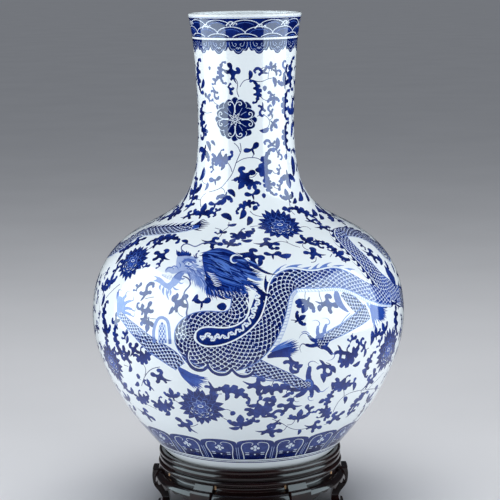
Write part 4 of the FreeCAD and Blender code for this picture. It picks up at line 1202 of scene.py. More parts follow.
def scrollwork():
    """Stems first, then the leaves."""
    for stem in STEMS.split(";"):
        wall_line(project(cubic(stem, 30)), 0.42, (0.92, 0.0))
    for table in (NECK_LEAVES, SHOULDER_LEAVES, LEFT_LEAVES, LOWER_LEAVES, RIGHT_LEAVES):
        for entry in table.split(","):
            kind, *values = entry.split()
            numbers = [float(value) for value in values] + [1.0, 0.0][len(values) - 4:]
            x, y, degrees, size, density, grey = numbers
            angle, s = project([(x, y)])[0]
            k = 1.17 * (0.22 + 0.82 * abs(size))
            # leaves grow towards the flanks, most of all above the belly
            flank = min(1.0, max(0.0, (abs(angle) - 0.75) / 0.45))
            k *= 1.0 + 0.42 * flank * (1.0 if y < 215 else 0.5)
            # lower density and grey here are partly painted reflection of the softboxes and the floor
            if kind in SINGLES:
                pen = wall_pen(angle, s, math.radians(-degrees), k * 1.2)
                draw_single(pen, kind, density, grey * 0.35)
            else:
                k *= SPRIGS[kind][0]
                pen = wall_pen(angle, s, math.radians(degrees), k * 1.2, size < 0)
                draw_sprig(pen, kind, density, grey * 0.35)


def fill_flanks():
    """Lotuses and leaves on the flanks, kept clear of what is already painted."""
    taken = np.array([outline.mean(0) for outline, _ in shapes])
    taken[:, 0] = np.mod(taken[:, 0], math.pi)

    def clearance(th, s):
        d = np.abs(taken[:, 0] - math.fmod(th + 2 * math.pi, math.pi))
        d = np.minimum(d, math.pi - d) * radius(s)
        return float(np.hypot(d, taken[:, 1] - s).min())
    u = np.linspace(0, 2 * math.pi, 12, endpoint=False)
    # angle, height, clearance needed, size
    for degrees, z, need, size in ((92.0, 236.0, 33.0, 27.0), (92.0, 345.0, 33.0, 27.0),
                                   (88.0, 520.0, 26.0, 20.0)):
        th, s = math.radians(degrees), arc(z)
        if clearance(th, s) > need:
            lotus((th, s), size)
            for f in (0.4, 0.8, 1.0):
                rim = np.column_stack([np.mod(th + f * size * np.cos(u) / radius(s), math.pi),
                                       s + f * size * np.sin(u)])
                taken = np.vstack([taken, rim])
    spots = []
    six = np.arange(6)
    for z in np.arange(140.0, 566.0, 4.5):
        s = arc(z)
        first, last, need = (60, 120, 15.0) if z < 440 else (74, 106, 13.0)
        for th in np.radians(np.arange(first, last, 1.5)) + rnd.uniform(0, 0.02):
            if clearance(th, s) < need:
                continue
            spots.append((th, s, z))
            rim = np.column_stack([np.mod(th + 4.5 * np.cos(six) / radius(s), math.pi),
                                   s + 4.5 * np.sin(six)])
            taken = np.vstack([taken, [[math.fmod(th + math.pi, math.pi), s]], rim])
    # a short stem from each spot to the nearest later one
    for i, (th, s, _) in enumerate(spots[:-1]):
        distance, j = min((math.hypot((th - b[0]) * radius(s), s - b[1]), j)
                          for j, b in enumerate(spots) if j > i)
        if distance < 34.0:
            b = spots[j]
            middle = ((th + b[0]) / 2 + 5.0 * rnd.choice([-1, 1]) / radius(s), (s + b[1]) / 2)
            stem = cubic([(th * 100, s), (middle[0] * 100, middle[1]), (b[0] * 100, b[1])], 16)
            wall_line(stem / [100, 1], 0.42, (0.92, 0))
    kinds = ["fork", "crest", "curl", "tri", "bow", "run", "comma"]
    for th, s, z in spots:
        kind = kinds[rnd.randint(len(kinds))]
        size = (1.24 if z < 440 else 0.92) * rnd.uniform(0.88, 1.12)
        turn = rnd.uniform(0, 2 * math.pi)
        draw_sprig(wall_pen(th, s, turn, size, bool(rnd.randint(2))), kind)


def decorate():
    scrollwork()
    rosette(project("235,119.3")[0], 24.6)
    for place, size in (("280.2,225.2", 28.0), ("132.4,261.4", 26.0), ("388.3,350.5", 29.0),
                        ("111.6,362", 26.0)):
        lotus(project(place)[0], size)
    # the lower lotus's grey is partly painted reflection of the floor
    lotus(project("200.6,407")[0], 28.5, density=0.97, grey=0.15)
    far_hind_leg()
    dragon_tail()
    dragon_rump()
    hind_leg()
    right_front_leg()
    left_front_leg()
    dragon_body()
    body_belt()
    dragon_face()
    dragon_mane()
    fill_flanks()
    waves(596.6, 619.9)
    ring(620.5, 621.0, (0.55, 0.1))
    lappets(594.2, 577.9, 16, math.radians(-7.4))
    ring(594.4, 596.8, (0.02, 0.0))
    ring(592.2, 594.4, (1.0, 0.0))
    lotus_panels(95.9, 128.2, 20, math.radians(2.6), 0.35)
    ring(93.0, 94.0, (0.92, 0.0))
    ring(90.4, 91.8, (0.92, 0.0))


# ----------------------------------------------------------------------------
# The painted wall. It is triangulated unrolled, so that every painted edge is a
# mesh edge. Half a turn is cut in tiles and used twice.
# ----------------------------------------------------------------------------
COLUMNS, ROWS = 6, 8        # tiles in half a turn and up the wall
TILE_COLUMNS, TILE_ROWS = HALF_DIVISIONS // COLUMNS, 18
KEYS = 500.0                # points snap to this many steps in a millimetre
ON_LINE = 1.2e-3            # how near a tile edge a vertex counts as on it


def cross(a, b, c):
    return (b[0] - a[0]) * (c[1] - a[1]) - (b[1] - a[1]) * (c[0] - a[0])


def signed_area(q):
    return 0.5 * float(np.dot(q[:, 0], np.roll(q[:, 1], -1))
                       - np.dot(q[:, 1], np.roll(q[:, 0], -1)))


def clean_face(face, pts):
    """Counter-clockwise face without doubled points, or None if nothing is left."""
    face = face[face != np.roll(face, 1)]
    if len(face) < 3:
        return None
    q = pts[face]
    if len(face) == 4:
        # a folded quad is opened out
        if (cross(q[0], q[1], q[2]) * cross(q[0], q[2], q[3]) < 0
                and cross(q[1], q[2], q[3]) * cross(q[0], q[1], q[3]) < 0):
            face = face[[0, 1, 3, 2]]
            q = pts[face]
    area = signed_area(q)
    if abs(area) < 1e-3:
        return None
    return face if area > 0 else face[::-1]


def cut_tile(tile_x, tile_y, outlines, gradients):
    """Triangulates a tile; returns its vertices, triangles and corner colours."""
    n, m = len(tile_x), len(tile_y)
    border = np.concatenate([
        np.column_stack([tile_x, np.full(n, tile_y[0])]),
        np.column_stack([np.full(m - 2, tile_x[-1]), tile_y[1:-1]]),
        np.column_stack([tile_x[::-1], np.full(n, tile_y[-1])]),
        np.column_stack([np.full(m - 2, tile_x[0]), tile_y[-2:0:-1]])])
    inner_x, inner_y = np.meshgrid(tile_x[1:-1], tile_y[1:-1])
    inner = np.column_stack([inner_x.ravel(), inner_y.ravel()])
    keys = np.concatenate(outlines + [np.round(p * KEYS).astype(np.int64)
                                      for p in (border, inner)])
    unique, inverse = np.unique(keys, axis=0, return_inverse=True)
    inverse = inverse.reshape(-1)
    pts = unique / KEYS
    faces, owners, boxes, k = [], [], [], 0
    for owner, outline in enumerate(outlines):
        face = clean_face(inverse[k:k + len(outline)], pts)
        k += len(outline)
        if face is not None:
            q = pts[face]
            faces.append(face.tolist())
            owners.append(owner)
            boxes.append((q[:, 0].min() - 1e-3, q[:, 0].max() + 1e-3,
                          q[:, 1].min() - 1e-3, q[:, 1].max() + 1e-3))
    domain = len(faces)
    faces.append(inverse[k:k + len(border)].tolist())
    cut = geometry.delaunay_2d_cdt([Vector(p) for p in pts.tolist()], [], faces, 0, 1e-6, True)
    xy = [(v.x, v.y) for v in cut[0]]
    # topmost shape over each triangle
    triangles, tops = [], []
    for face, sources in zip(cut[2], cut[5]):
        if domain not in sources:
            continue
        triangles.append(face)
        top = -1
        x = (xy[face[0]][0] + xy[face[1]][0] + xy[face[2]][0]) / 3
        y = (xy[face[0]][1] + xy[face[1]][1] + xy[face[2]][1]) / 3
        for source in sources:
            if source != domain and source > top:
                box = boxes[source]
                if box[0] < x < box[1] and box[2] < y < box[3]:
                    top = source
        tops.append(top)
    verts, triangles, tops = np.array(xy), np.array(triangles), np.array(tops)
    e1 = verts[triangles[:, 1]] - verts[triangles[:, 0]]
    e2 = verts[triangles[:, 2]] - verts[triangles[:, 0]]
    back = e1[:, 0] * e2[:, 1] - e1[:, 1] * e2[:, 0] < 0
    triangles[back] = triangles[back][:, ::-1]
    # bare porcelain is the last row
    table = np.vstack([gradients[np.array(owners, int)], [(0, 0, 0, 0, 0, 0, 1, 0)]])
    g = table[np.where(tops < 0, len(owners), tops)]
    d = g[:, 6:8] - g[:, 4:6]
    length2 = np.maximum((d ** 2).sum(1), 1e-9)
    colours = np.zeros((len(triangles), 3, 4), np.float32)
    for c in range(3):
        t = np.clip(((verts[triangles[:, c]] - g[:, 4:6]) * d).sum(1) / length2, 0, 1)
        colours[:, c, 0] = g[:, 0] * (1 - t) + g[:, 2] * t
        colours[:, c, 1] = g[:, 1] * (1 - t) + g[:, 3] * t
    colours[:, :, 3] = 1.0
    return verts, triangles, colours


def half_sheet(grid_x, grid_y):
    """All tiles of half a turn: vertices, triangles, corner colours."""
    lengths = np.array([len(outline) for outline, _ in shapes])
    places = np.concatenate([outline for outline, _ in shapes])
    starts = np.concatenate([[0], np.cumsum(lengths)])
    low = np.minimum.reduceat(places, starts[:-1])
    high = np.maximum.reduceat(places, starts[:-1])
    # every copy of a shape, moved by half turns, that reaches this half
    index, shift = [], []
    for k in range(-4, 5):
        reach = np.nonzero((low[:, 0] + k * math.pi < math.pi / 2 - 1e-6)
                           & (high[:, 0] + k * math.pi > -math.pi / 2 + 1e-6))[0]
        index.append(reach)
        shift.append(np.full(len(reach), k))
    index, shift = np.concatenate(index), np.concatenate(shift)
    order = np.lexsort((shift, index))
    index, shift = index[order], shift[order]
    x0 = (low[index, 0] + shift * math.pi) * UNROLL_RADIUS
    x1 = (high[index, 0] + shift * math.pi) * UNROLL_RADIUS
    y0, y1 = low[index, 1], high[index, 1]
    half_turn = int(round((grid_x[-1] - grid_x[0]) * KEYS))
    keys = np.round(places * [UNROLL_RADIUS, 1.0] * KEYS).astype(np.int64)
    gradients = np.array([gradient for _, gradient in shapes])[index]
    for column in (4, 6):
        gradients[:, column] = (gradients[:, column] + shift * math.pi) * UNROLL_RADIUS
    verts, triangles, colours, base = [], [], [], 0
    for column in range(COLUMNS):
        tile_x = grid_x[column * TILE_COLUMNS:(column + 1) * TILE_COLUMNS + 1]
        for row in range(ROWS):
            tile_y = grid_y[row * TILE_ROWS:(row + 1) * TILE_ROWS + 1]
            chosen = np.nonzero((x0 < tile_x[-1]) & (x1 > tile_x[0])
                                & (y0 < tile_y[-1]) & (y1 > tile_y[0]))[0]
            outlines = [keys[starts[index[j]]:starts[index[j] + 1]] + [shift[j] * half_turn, 0]
                        for j in chosen]
            v, t, c = cut_tile(tile_x, tile_y, outlines, gradients[chosen])
            verts.append(v)
            triangles.append(t + base)
            colours.append(c)
            base += len(v)
    return np.vstack(verts), np.vstack(triangles), np.concatenate(colours)


def wall_sheet():
    """Angles, arc lengths, triangles, colours, and the vertex each one welds to."""
    grid_x = np.linspace(-math.pi / 2, math.pi / 2, HALF_DIVISIONS + 1) * UNROLL_RADIUS
    grid_x = np.round(grid_x * KEYS) / KEYS
    grid_y = np.round(np.linspace(0.0, WALL_LENGTH, ROWS * TILE_ROWS + 1) * KEYS) / KEYS
    verts, triangles, colours = half_sheet(grid_x, grid_y)
    count = len(verts)
    turn = np.repeat([0.0, 1.0], count)
    x, s = np.tile(verts, (2, 1)).T
    welded = np.arange(2 * count)

    def weld(chosen, along):
        idx = np.nonzero(chosen)[0]
        idx = idx[np.argsort(along[idx], kind="stable")]
        cut = np.concatenate([[True], np.diff(along[idx]) > 4e-4])
        group = np.cumsum(cut) - 1
        first = np.full(group[-1] + 1, 1 << 60)
        np.minimum.at(first, group, welded[idx])
        welded[welded[idx]] = first[group]
        welded[idx] = first[group]
    for column in range(1, COLUMNS):
        on = np.abs(x - grid_x[column * TILE_COLUMNS]) < ON_LINE
        for half in (0, 1):
            weld(on & (turn == half), s)
    low, high = np.abs(x - grid_x[0]) < ON_LINE, np.abs(x - grid_x[-1]) < ON_LINE
    weld((high & (turn == 0)) | (low & (turn == 1)), s)
    weld((high & (turn == 1)) | (low & (turn == 0)), s)
    for row in range(1, ROWS):
        on = np.abs(s - grid_y[row * TILE_ROWS]) < ON_LINE
        for half in (0, 1):
            weld(on & (turn == half), x)
    for _ in range(6):
        welded = welded[welded]
    return (x / UNROLL_RADIUS + turn * math.pi, s, np.vstack([triangles, triangles + count]),
            np.concatenate([colours, colours]), welded)


# ----------------------------------------------------------------------------
# Lip, inside and foot, turned from (radius, height) profiles
# ----------------------------------------------------------------------------
LIP_INNER = (64.6, 622.4)
WALL_THICKNESS = ([60, 100, 180, 330, 420, 520, 625],       # at these heights
                  [8.5, 7.4, 6.2, 5.6, 5.2, 4.8, 4.6])


def inside_wall():
    """Inside wall from the lip down, offset by the porcelain's thickness."""
    dr, dz = np.gradient(WALL[:, 0]), np.gradient(WALL[:, 1])
    length = np.hypot(dr, dz)
    t = np.interp(WALL[:, 1], *WALL_THICKNESS)
    q = np.column_stack([WALL[:, 0] - dz / length * t, WALL[:, 1] + dr / length * t])
    q = q[(q[:, 1] > 94.0) & (q[:, 1] < 612.0)]
    q = q[::-1][::14]
    return q[(q[:, 0] > 100.0) | (q[:, 1] > 300.0)][2:]


def circle_arc(table, n):
    """Points on the circle arc through three points."""
    (ax, ay), (bx, by), (cx, cy) = points(table).tolist()
    d = 2 * (ax * (by - cy) + bx * (cy - ay) + cx * (ay - by))
    a2, b2, c2 = ax * ax + ay * ay, bx * bx + by * by, cx * cx + cy * cy
    x0 = (a2 * (by - cy) + b2 * (cy - ay) + c2 * (ay - by)) / d
    y0 = (a2 * (cx - bx) + b2 * (ax - cx) + c2 * (bx - ax)) / d
    r = math.hypot(ax - x0, ay - y0)
    start, middle, end = (math.atan2(y - y0, x - x0) for x, y in ((ax, ay), (bx, by), (cx, cy)))
    full = 2 * math.pi
    span = (end - start) % full
    if (middle - start) % full > span:
        span -= full
    t = np.linspace(0, span, n)
    return np.column_stack([x0 + r * np.cos(start + t), y0 + r * np.sin(start + t)])


def upper_profile():
    """Over the lip and down the inside to the middle of the floor."""
    lip = circle_arc([OUTER_WALL[-1], (67.0, 625.0), LIP_INNER], 13)
    inner = cubic(np.vstack([[LIP_INNER, (64.5, 618.0)], inside_wall(),
                             points("98,89.5 80,83.9 60,81.9 40,80.9 20,80.6 0.6,80.5")]), 200)
    return np.vstack([lip[1:], inner[1:]])


def foot_profile():
    """Round the foot rim and in under the base."""
    return np.vstack([points("95.73,67.4"),
                      circle_arc("95.2,64.9 94.8,63.9 93.8,63.5", 5),
                      circle_arc("89.3,63.5 88.55,63.8 88.2,64.5", 5),
                      points("87.9,66.5 87.6,68.5"),
                      circle_arc("87.6,68.5 86.8,70.6 84.5,71.5", 5)[1:],
                      points("60,71.3 30,71 0.6,70.7")])


def turned(rows, start, first, base, side, v0, v1):
    """Turns rows of a profile on from the border ring first, and closes the middle.

    New vertices are numbered from base; side is 1 for the upper part and -1 for the foot.
    Returns vertices, normals, quads, quad UVs and the closing triangles.
    """
    profile = np.vstack([start, rows])
    length = np.concatenate([[0], np.cumsum(np.linalg.norm(np.diff(profile, axis=0), axis=1))])
    v = v0 + (v1 - v0) * length / length[-1]
    tangent = np.gradient(profile, axis=0)
    tangent /= np.maximum(np.linalg.norm(tangent, axis=1, keepdims=True), 1e-9)
    a = np.linspace(-math.pi / 2, 1.5 * math.pi, DIVISIONS + 1)[:-1]
    steps = np.arange(DIVISIONS)
    following = np.roll(steps, -1)
    winding = [0, 1, 2, 3] if side > 0 else [0, 3, 2, 1]
    u0, u1 = steps / DIVISIONS, (steps + 1) / DIVISIONS
    verts, normals, quads, uvs = [], [], [], []
    below = first
    for k in range(1, len(profile)):
        r, z = profile[k]
        nr, nz = side * tangent[k][1], -side * tangent[k][0]
        verts.append(np.column_stack([r * np.sin(a), -r * np.cos(a), np.full(DIVISIONS, z)]))
        normals.append(np.column_stack([nr * np.sin(a), -nr * np.cos(a),
                                        np.full(DIVISIONS, nz)]))
        above = base + steps
        base += DIVISIONS
        quad = np.column_stack([below, below[following], above[following], above])
        quads.append(quad[:, winding])
        v_low, v_high = np.full(DIVISIONS, v[k - 1]), np.full(DIVISIONS, v[k])
        corners = [(u0, v_low), (u1, v_low), (u1, v_high), (u0, v_high)]
        uvs.append(np.stack([np.column_stack(corners[i]) for i in winding], 1))
        below = above
    verts.append(np.array([[0.0, 0.0, profile[-1][1]]]))
    normals.append(np.array([[0.0, 0.0, float(side)]]))
    cap = np.column_stack([below, below[following], np.full(DIVISIONS, base)])
    return (np.vstack(verts), np.vstack(normals), np.vstack(quads), np.concatenate(uvs),
            cap if side > 0 else cap[:, [0, 2, 1]])


def cap_uvs(v_edge, v_middle):
    u = np.arange(DIVISIONS) / DIVISIONS
    edge, middle = np.full(DIVISIONS, v_edge), np.full(DIVISIONS, v_middle)
    return np.stack([np.column_stack([u, edge]), np.column_stack([u + 1.0 / DIVISIONS, edge]),
                     np.column_stack([u + 0.5 / DIVISIONS, middle])], 1)


def make_vase():
    th, s, triangles, colours, welded = wall_sheet()
    r = radius(s)
    outer = np.column_stack([r * np.sin(th), -r * np.cos(th), np.interp(s, WALL_ARC, WALL[:, 1])])
    dr = radius(s + 0.4) - radius(s - 0.4)
    dz = np.interp(s + 0.4, WALL_ARC, WALL[:, 1]) - np.interp(s - 0.4, WALL_ARC, WALL[:, 1])
    length = np.hypot(dr, dz)
    outer_normals = np.column_stack([dz / length * np.sin(th), -dz / length * np.cos(th),
                                     -dr / length])
    wall = welded[triangles]
    good = ((wall[:, 0] != wall[:, 1]) & (wall[:, 1] != wall[:, 2])
            & (wall[:, 0] != wall[:, 2]))
    wall, colours, triangles = wall[good], colours[good], triangles[good]
    u, v = (th + math.pi / 2) / (2 * math.pi), 0.20 + 0.60 * s / WALL_LENGTH
    wall_uvs = np.stack([u[triangles], v[triangles]], -1)

    def border(height):
        """Welded vertices along one end of the wall, in order round it."""
        idx = np.nonzero(np.abs(s - height) < 2e-3)[0]
        idx = welded[idx[np.argsort(th[idx], kind="stable")]]
        _, keep = np.unique(idx, return_index=True)
        return idx[np.sort(keep)]
    up = turned(upper_profile(), OUTER_WALL[-1], border(WALL_LENGTH), len(th), 1, 0.80, 0.985)
    down = turned(foot_profile(), OUTER_WALL[0], border(0.0), len(th) + len(up[0]), -1,
                  0.20, 0.015)
    verts = np.vstack([outer, up[0], down[0]]) / 1000.0
    normals = np.vstack([outer_normals, up[1], down[1]])
    quads = np.vstack([up[2], down[2]])
    caps = np.vstack([up[4], down[4]])
    wall_loops, quad_loops = 3 * len(wall), 4 * len(quads)
    loops = np.concatenate([wall.ravel(), quads.ravel(), caps.ravel()])
    starts = np.concatenate([np.arange(len(wall)) * 3,
                             wall_loops + np.arange(len(quads)) * 4,
                             wall_loops + quad_loops + np.arange(len(caps)) * 3])
    # drop the vertices that the weld left unused
    used = np.zeros(len(verts), bool)
    used[loops] = True
    loops = (np.cumsum(used) - 1)[loops].astype(np.int32)
    verts, normals = verts[used], normals[used]
    mesh = bpy.data.meshes.new("vase_glazed")
    mesh.vertices.add(len(verts))
    mesh.vertices.foreach_set("co", verts.astype(np.float32).ravel())
    mesh.loops.add(len(loops))
    mesh.loops.foreach_set("vertex_index", loops)
    mesh.polygons.add(len(starts))
    mesh.polygons.foreach_set("loop_start", starts.astype(np.int32))
    mesh.update(calc_edges=True)
    mesh.validate()
    mesh.polygons.foreach_set("use_smooth", np.ones(len(mesh.polygons), bool))
    # corner data only fits if validation dropped no face
    if len(mesh.loops) == len(loops):
        paint_values = np.zeros((len(loops), 4), np.float32)
        paint_values[:, 3] = 1
        paint_values[:wall_loops] = colours.reshape(-1, 4)
        uvs = np.concatenate([part.reshape(-1, 2) for part in (
            wall_uvs, up[3], down[3], cap_uvs(0.99 - 0.004, 0.99), cap_uvs(0.01 + 0.004, 0.01))])
        attribute = mesh.color_attributes.new("Paint", "FLOAT_COLOR", "CORNER")
        attribute.data.foreach_set("color", paint_values.ravel())
        layer = mesh.uv_layers.new(name="OFBake")
        layer.data.foreach_set("uv", uvs.astype(np.float32).ravel())
    normals /= np.maximum(np.linalg.norm(normals, axis=1, keepdims=True), 1e-9)
    mesh.normals_split_custom_set_from_vertices([Vector(n) for n in normals.tolist()])
    vase = bpy.data.objects.new("vase_glazed", mesh)
    bpy.context.scene.collection.objects.link(vase)
    return vase


# ----------------------------------------------------------------------------
# Materials
# ----------------------------------------------------------------------------
class Nodes:
    """Short way to wire a node material."""

    def __init__(self, name):
        self.material = bpy.data.materials.new(name)
        self.material.use_nodes = True
        self.tree = self.material.node_tree
        self.tree.nodes.clear()
        output = self.new("OutputMaterial")
        self.shader = self.new("BsdfPrincipled")
        self.tree.links.new(self.shader.outputs[0], output.inputs[0])

    def new(self, kind):
        return self.tree.nodes.new("ShaderNode" + kind)

    def put(self, socket, value):
        if isinstance(value, bpy.types.NodeSocket):
            self.tree.links.new(value, socket)
        else:
            socket.default_value = value

    def math(self, operation, a, b, clamp=False):
        node = self.new("Math")
        node.operation = operation
        node.use_clamp = clamp
        self.put(node.inputs[0], a)
        self.put(node.inputs[1], b)
        return node.outputs[0]

    def add(self, a, b):
        return self.math("ADD", a, b)

    def sub(self, a, b, clamp=False):
        return self.math("SUBTRACT", a, b, clamp)

    def mul(self, a, b, clamp=False):
        return self.math("MULTIPLY", a, b, clamp)

    def noise(self, vector, scale, detail=4.0, roughness=0.55, distortion=0.0):
        node = self.new("TexNoise")
        self.put(node.inputs["Vector"], vector)
        node.inputs["Scale"].default_value = scale
        node.inputs["Detail"].default_value = detail
        node.inputs["Roughness"].default_value = roughness
        node.inputs["Distortion"].default_value = distortion
        return node.outputs["Fac"]

    def ramp(self, factor, *stops):
        """Colour ramp; each stop is (place, red, green, blue)."""
        node = self.new("ValToRGB")
        elements = node.color_ramp.elements
        elements.remove(elements[1])
        for i, (place, *colour) in enumerate(stops):
            element = elements[0] if i == 0 else elements.new(place)
            element.position = place
            element.color = (*colour, 1.0)
        self.put(node.inputs[0], factor)
        return node.outputs[0]

    def mix(self, factor, a, b, mode="MIX"):
        node = self.new("Mix")
        node.data_type = "RGBA"
        node.blend_type = mode
        self.put(node.inputs[0], factor)
        for socket, value in ((node.inputs[6], a), (node.inputs[7], b)):
            self.put(socket, (*value, 1.0) if isinstance(value, tuple) else value)
        return node.outputs[2]

    def position(self):
        return self.new("TexCoord").outputs["Object"]

    def split(self, vector):
        node = self.new("SeparateXYZ")
        self.put(node.inputs[0], vector)
        return node.outputs

    def vector(self, x, y, z):
        node = self.new("CombineXYZ")
        for socket, value in zip(node.inputs, (x, y, z)):
            self.put(socket, value)
        return node.outputs[0]

    def bump(self, height, strength, distance):
        node = self.new("Bump")
        node.inputs["Strength"].default_value = strength
        node.inputs["Distance"].default_value = distance
        self.put(node.inputs["Height"], height)
        return node.outputs[0]

    def finish(self, **inputs):
        for name, value in inputs.items():
            self.put(self.shader.inputs[name.replace("_", " ")], value)
        return self.material


def porcelain():
    """Clear glaze over cobalt painting, with an unglazed foot rim."""
    n = Nodes("glazed_porcelain")
    place = n.position()
    attribute = n.new("Attribute")
    attribute.attribute_name = "Paint"
    channels = n.new("SeparateColor")
    n.tree.links.new(attribute.outputs["Color"], channels.inputs[0])
    density, grey = channels.outputs[0], channels.outputs[1]
    # cobalt pooling, broad and fine
    pool = n.noise(place, scale=95.0, detail=5.0, roughness=0.62)
    fine = n.noise(place, scale=420.0, detail=3.0, roughness=0.5)
    uneven = n.add(n.mul(n.sub(pool, 0.5), 0.42), n.mul(n.sub(fine, 0.5), 0.24))
    wash = n.mul(density, n.add(1.0, uneven), clamp=True)
    blues = n.ramp(wash, (0.0, 0.80, 0.875, 0.915), (0.10, 0.66, 0.76, 0.88),
                   (0.26, 0.38, 0.50, 0.78), (0.46, 0.085, 0.200, 0.60),
                   (0.66, 0.012, 0.070, 0.40), (0.84, 0.0020, 0.022, 0.205),
                   (1.0, 0.0008, 0.0062, 0.080))
    greys = n.ramp(wash, (0.0, 0.80, 0.875, 0.915), (0.28, 0.44, 0.50, 0.66),
                   (0.55, 0.20, 0.245, 0.42), (0.85, 0.060, 0.080, 0.20),
                   (1.0, 0.022, 0.03, 0.10))
    colour = n.mix(n.mul(grey, 1.0, clamp=True), blues, greys)
    # cloudiness of the white body
    cloud = n.noise(place, scale=9.0, detail=3.0, roughness=0.5)
    cloud = n.mul(n.mul(cloud, 0.10), n.sub(1.0, density, clamp=True))
    colour = n.mix(cloud, colour, (0.70, 0.80, 0.83))
    # foot rim, below 66 mm
    bare = n.math("LESS_THAN", n.split(place)[2], 0.0660)
    grit = n.noise(place, scale=900.0, detail=2.0, roughness=0.6)
    biscuit = n.ramp(grit, (0.3, 0.60, 0.53, 0.44), (0.7, 0.78, 0.72, 0.63))
    colour = n.mix(bare, colour, biscuit)
    # ripple of the glaze, painting slightly sunk
    ripple = n.add(n.mul(n.noise(place, scale=38.0, detail=2.0, roughness=0.4), 1.0),
                   n.mul(density, -0.05))
    gloss = n.add(n.mul(bare, 0.6), n.add(0.045, n.mul(pool, 0.03)))
    height = n.add(ripple, n.mul(bare, n.mul(grit, 0.5)))
    return n.finish(Base_Color=colour, Roughness=gloss, IOR=1.62, Specular_IOR_Level=0.5,
                    Normal=n.bump(height, strength=0.22, distance=0.0007))


def rosewood(name, grain):
    """Dark lacquered rosewood, its grain round the axis, along X ("flat") or "up"."""
    n = Nodes(name)
    place = n.position()
    x, y, z = n.split(place)
    if grain == "flat":
        stretched = n.vector(n.mul(x, 0.7), n.mul(y, 9.0), n.mul(z, 9.0))
    else:
        angle = n.math("ARCTAN2", y, x)
        square = n.add(n.mul(x, x), n.mul(y, y))
        # the square root takes one input; the second keeps its default
        root = n.new("Math")
        root.operation = "SQRT"
        n.put(root.inputs[0], square)
        # stretch by angle and height
        by_angle, by_height = (0.10, 9.0) if grain == "ring" else (1.3, 0.9)
        stretched = n.vector(n.mul(angle, by_angle), n.mul(root.outputs[0], 9.0),
                             n.mul(z, by_height))
    figure = n.noise(stretched, scale=6.0, detail=6.0, roughness=0.62, distortion=1.4)
    pores = n.noise(stretched, scale=46.0, detail=3.0, roughness=0.7, distortion=0.3)
    colour = n.ramp(figure, (0.25, 0.0020, 0.0010, 0.0012), (0.48, 0.0052, 0.0020, 0.0021),
                    (0.62, 0.0135, 0.0040, 0.0036), (0.80, 0.0042, 0.0018, 0.0018))
    dark = n.ramp(pores, (0.36, 0.0022, 0.0012, 0.0012), (0.50, 1.0, 1.0, 1.0))
    colour = n.mix(0.55, colour, n.mix(1.0, colour, dark, "MULTIPLY"))
    wear = n.noise(place, scale=70.0, detail=4.0, roughness=0.6)
    height = n.add(n.mul(pores, 0.35), n.mul(figure, 0.5))
    return n.finish(Base_Color=colour, Roughness=n.add(0.12, n.mul(wear, 0.14)), IOR=1.5,
                    Specular_IOR_Level=0.22, Coat_Weight=0.55, Coat_Roughness=0.03,
                    Normal=n.bump(height, strength=0.20, distance=0.0004))


def dowel_wood():
    n = Nodes("dowel_beech")
    x, y, z = n.split(n.position())
    grain = n.noise(n.vector(n.mul(x, 8.0), n.mul(y, 8.0), z),
                    scale=60.0, detail=5.0, roughness=0.6, distortion=0.6)
    return n.finish(Base_Color=n.ramp(grain, (0.3, 0.30, 0.17, 0.08), (0.7, 0.46, 0.29, 0.15)),
                    Roughness=0.55, Normal=n.bump(grain, strength=0.3, distance=0.0003))


def brass():
    n = Nodes("brass_screw")
    place = n.position()
    scratch = n.noise(place, scale=1400.0, detail=3.0, roughness=0.6)
    stain = n.noise(place, scale=160.0, detail=4.0, roughness=0.6)
    colour = n.ramp(stain, (0.3, 0.014, 0.010, 0.008), (0.7, 0.030, 0.021, 0.014))
    return n.finish(Base_Color=colour, Metallic=1.0,
                    Roughness=n.add(0.34, n.mul(scratch, 0.2)),
                    Normal=n.bump(scratch, strength=0.15, distance=0.0002))


def felt():
    n = Nodes("wool_felt")
    place = n.position()
    fibre = n.noise(place, scale=1500.0, detail=4.0, roughness=0.75, distortion=1.6)
    patch = n.noise(place, scale=240.0, detail=4.0, roughness=0.6)
    colour = n.ramp(patch, (0.3, 0.020, 0.030, 0.020), (0.7, 0.042, 0.060, 0.040))
    lint = n.ramp(fibre, (0.35, 0.006, 0.010, 0.006), (0.7, 0.10, 0.13, 0.10))
    return n.finish(Base_Color=n.mix(0.35, colour, lint), Roughness=0.95, Sheen_Weight=0.5,
                    Sheen_Roughness=0.4, Normal=n.bump(fibre, strength=0.8, distance=0.0006))


def floor_matt():
    """Pale matt floor that turns dark in reflections from farther off."""
    n = Nodes("floor_matt")
    path = n.new("LightPath")
    distance = n.mul(n.sub(path.outputs["Ray Length"], 0.5), 1.6, clamp=True)
    far = n.mul(path.outputs["Is Glossy Ray"], distance, clamp=True)
    pale = n.ramp(n.noise(n.position(), scale=3.0, detail=2.0),
                  (0.3, 0.70, 0.71, 0.73), (0.7, 0.73, 0.74, 0.76))
    return n.finish(Base_Color=n.mix(far, pale, (0.03, 0.03, 0.035)), Roughness=0.8,
                    Specular_IOR_Level=0.0)


def give(piece, material):
    piece.data.materials.clear()
    piece.data.materials.append(material)


def dress_stand():
    ring_wood = rosewood("rosewood_ring", "ring")
    leg_wood = rosewood("rosewood_leg", "up")
    panel_wood = rosewood("rosewood_panel", "flat")
    for name, piece in pieces.items():
        if name.startswith("leg_") and name != "leg_screws":
            give(piece, leg_wood)
        elif name.startswith(("apron_", "seat_ring_segment", "waist_ring")):
            give(piece, ring_wood)
        elif name == "seat_panel":
            give(piece, panel_wood)
        elif name.endswith("dowels"):
            give(piece, dowel_wood())
        elif name.endswith("screws"):
            give(piece, brass())
        elif "felt" in name:
            give(piece, felt())


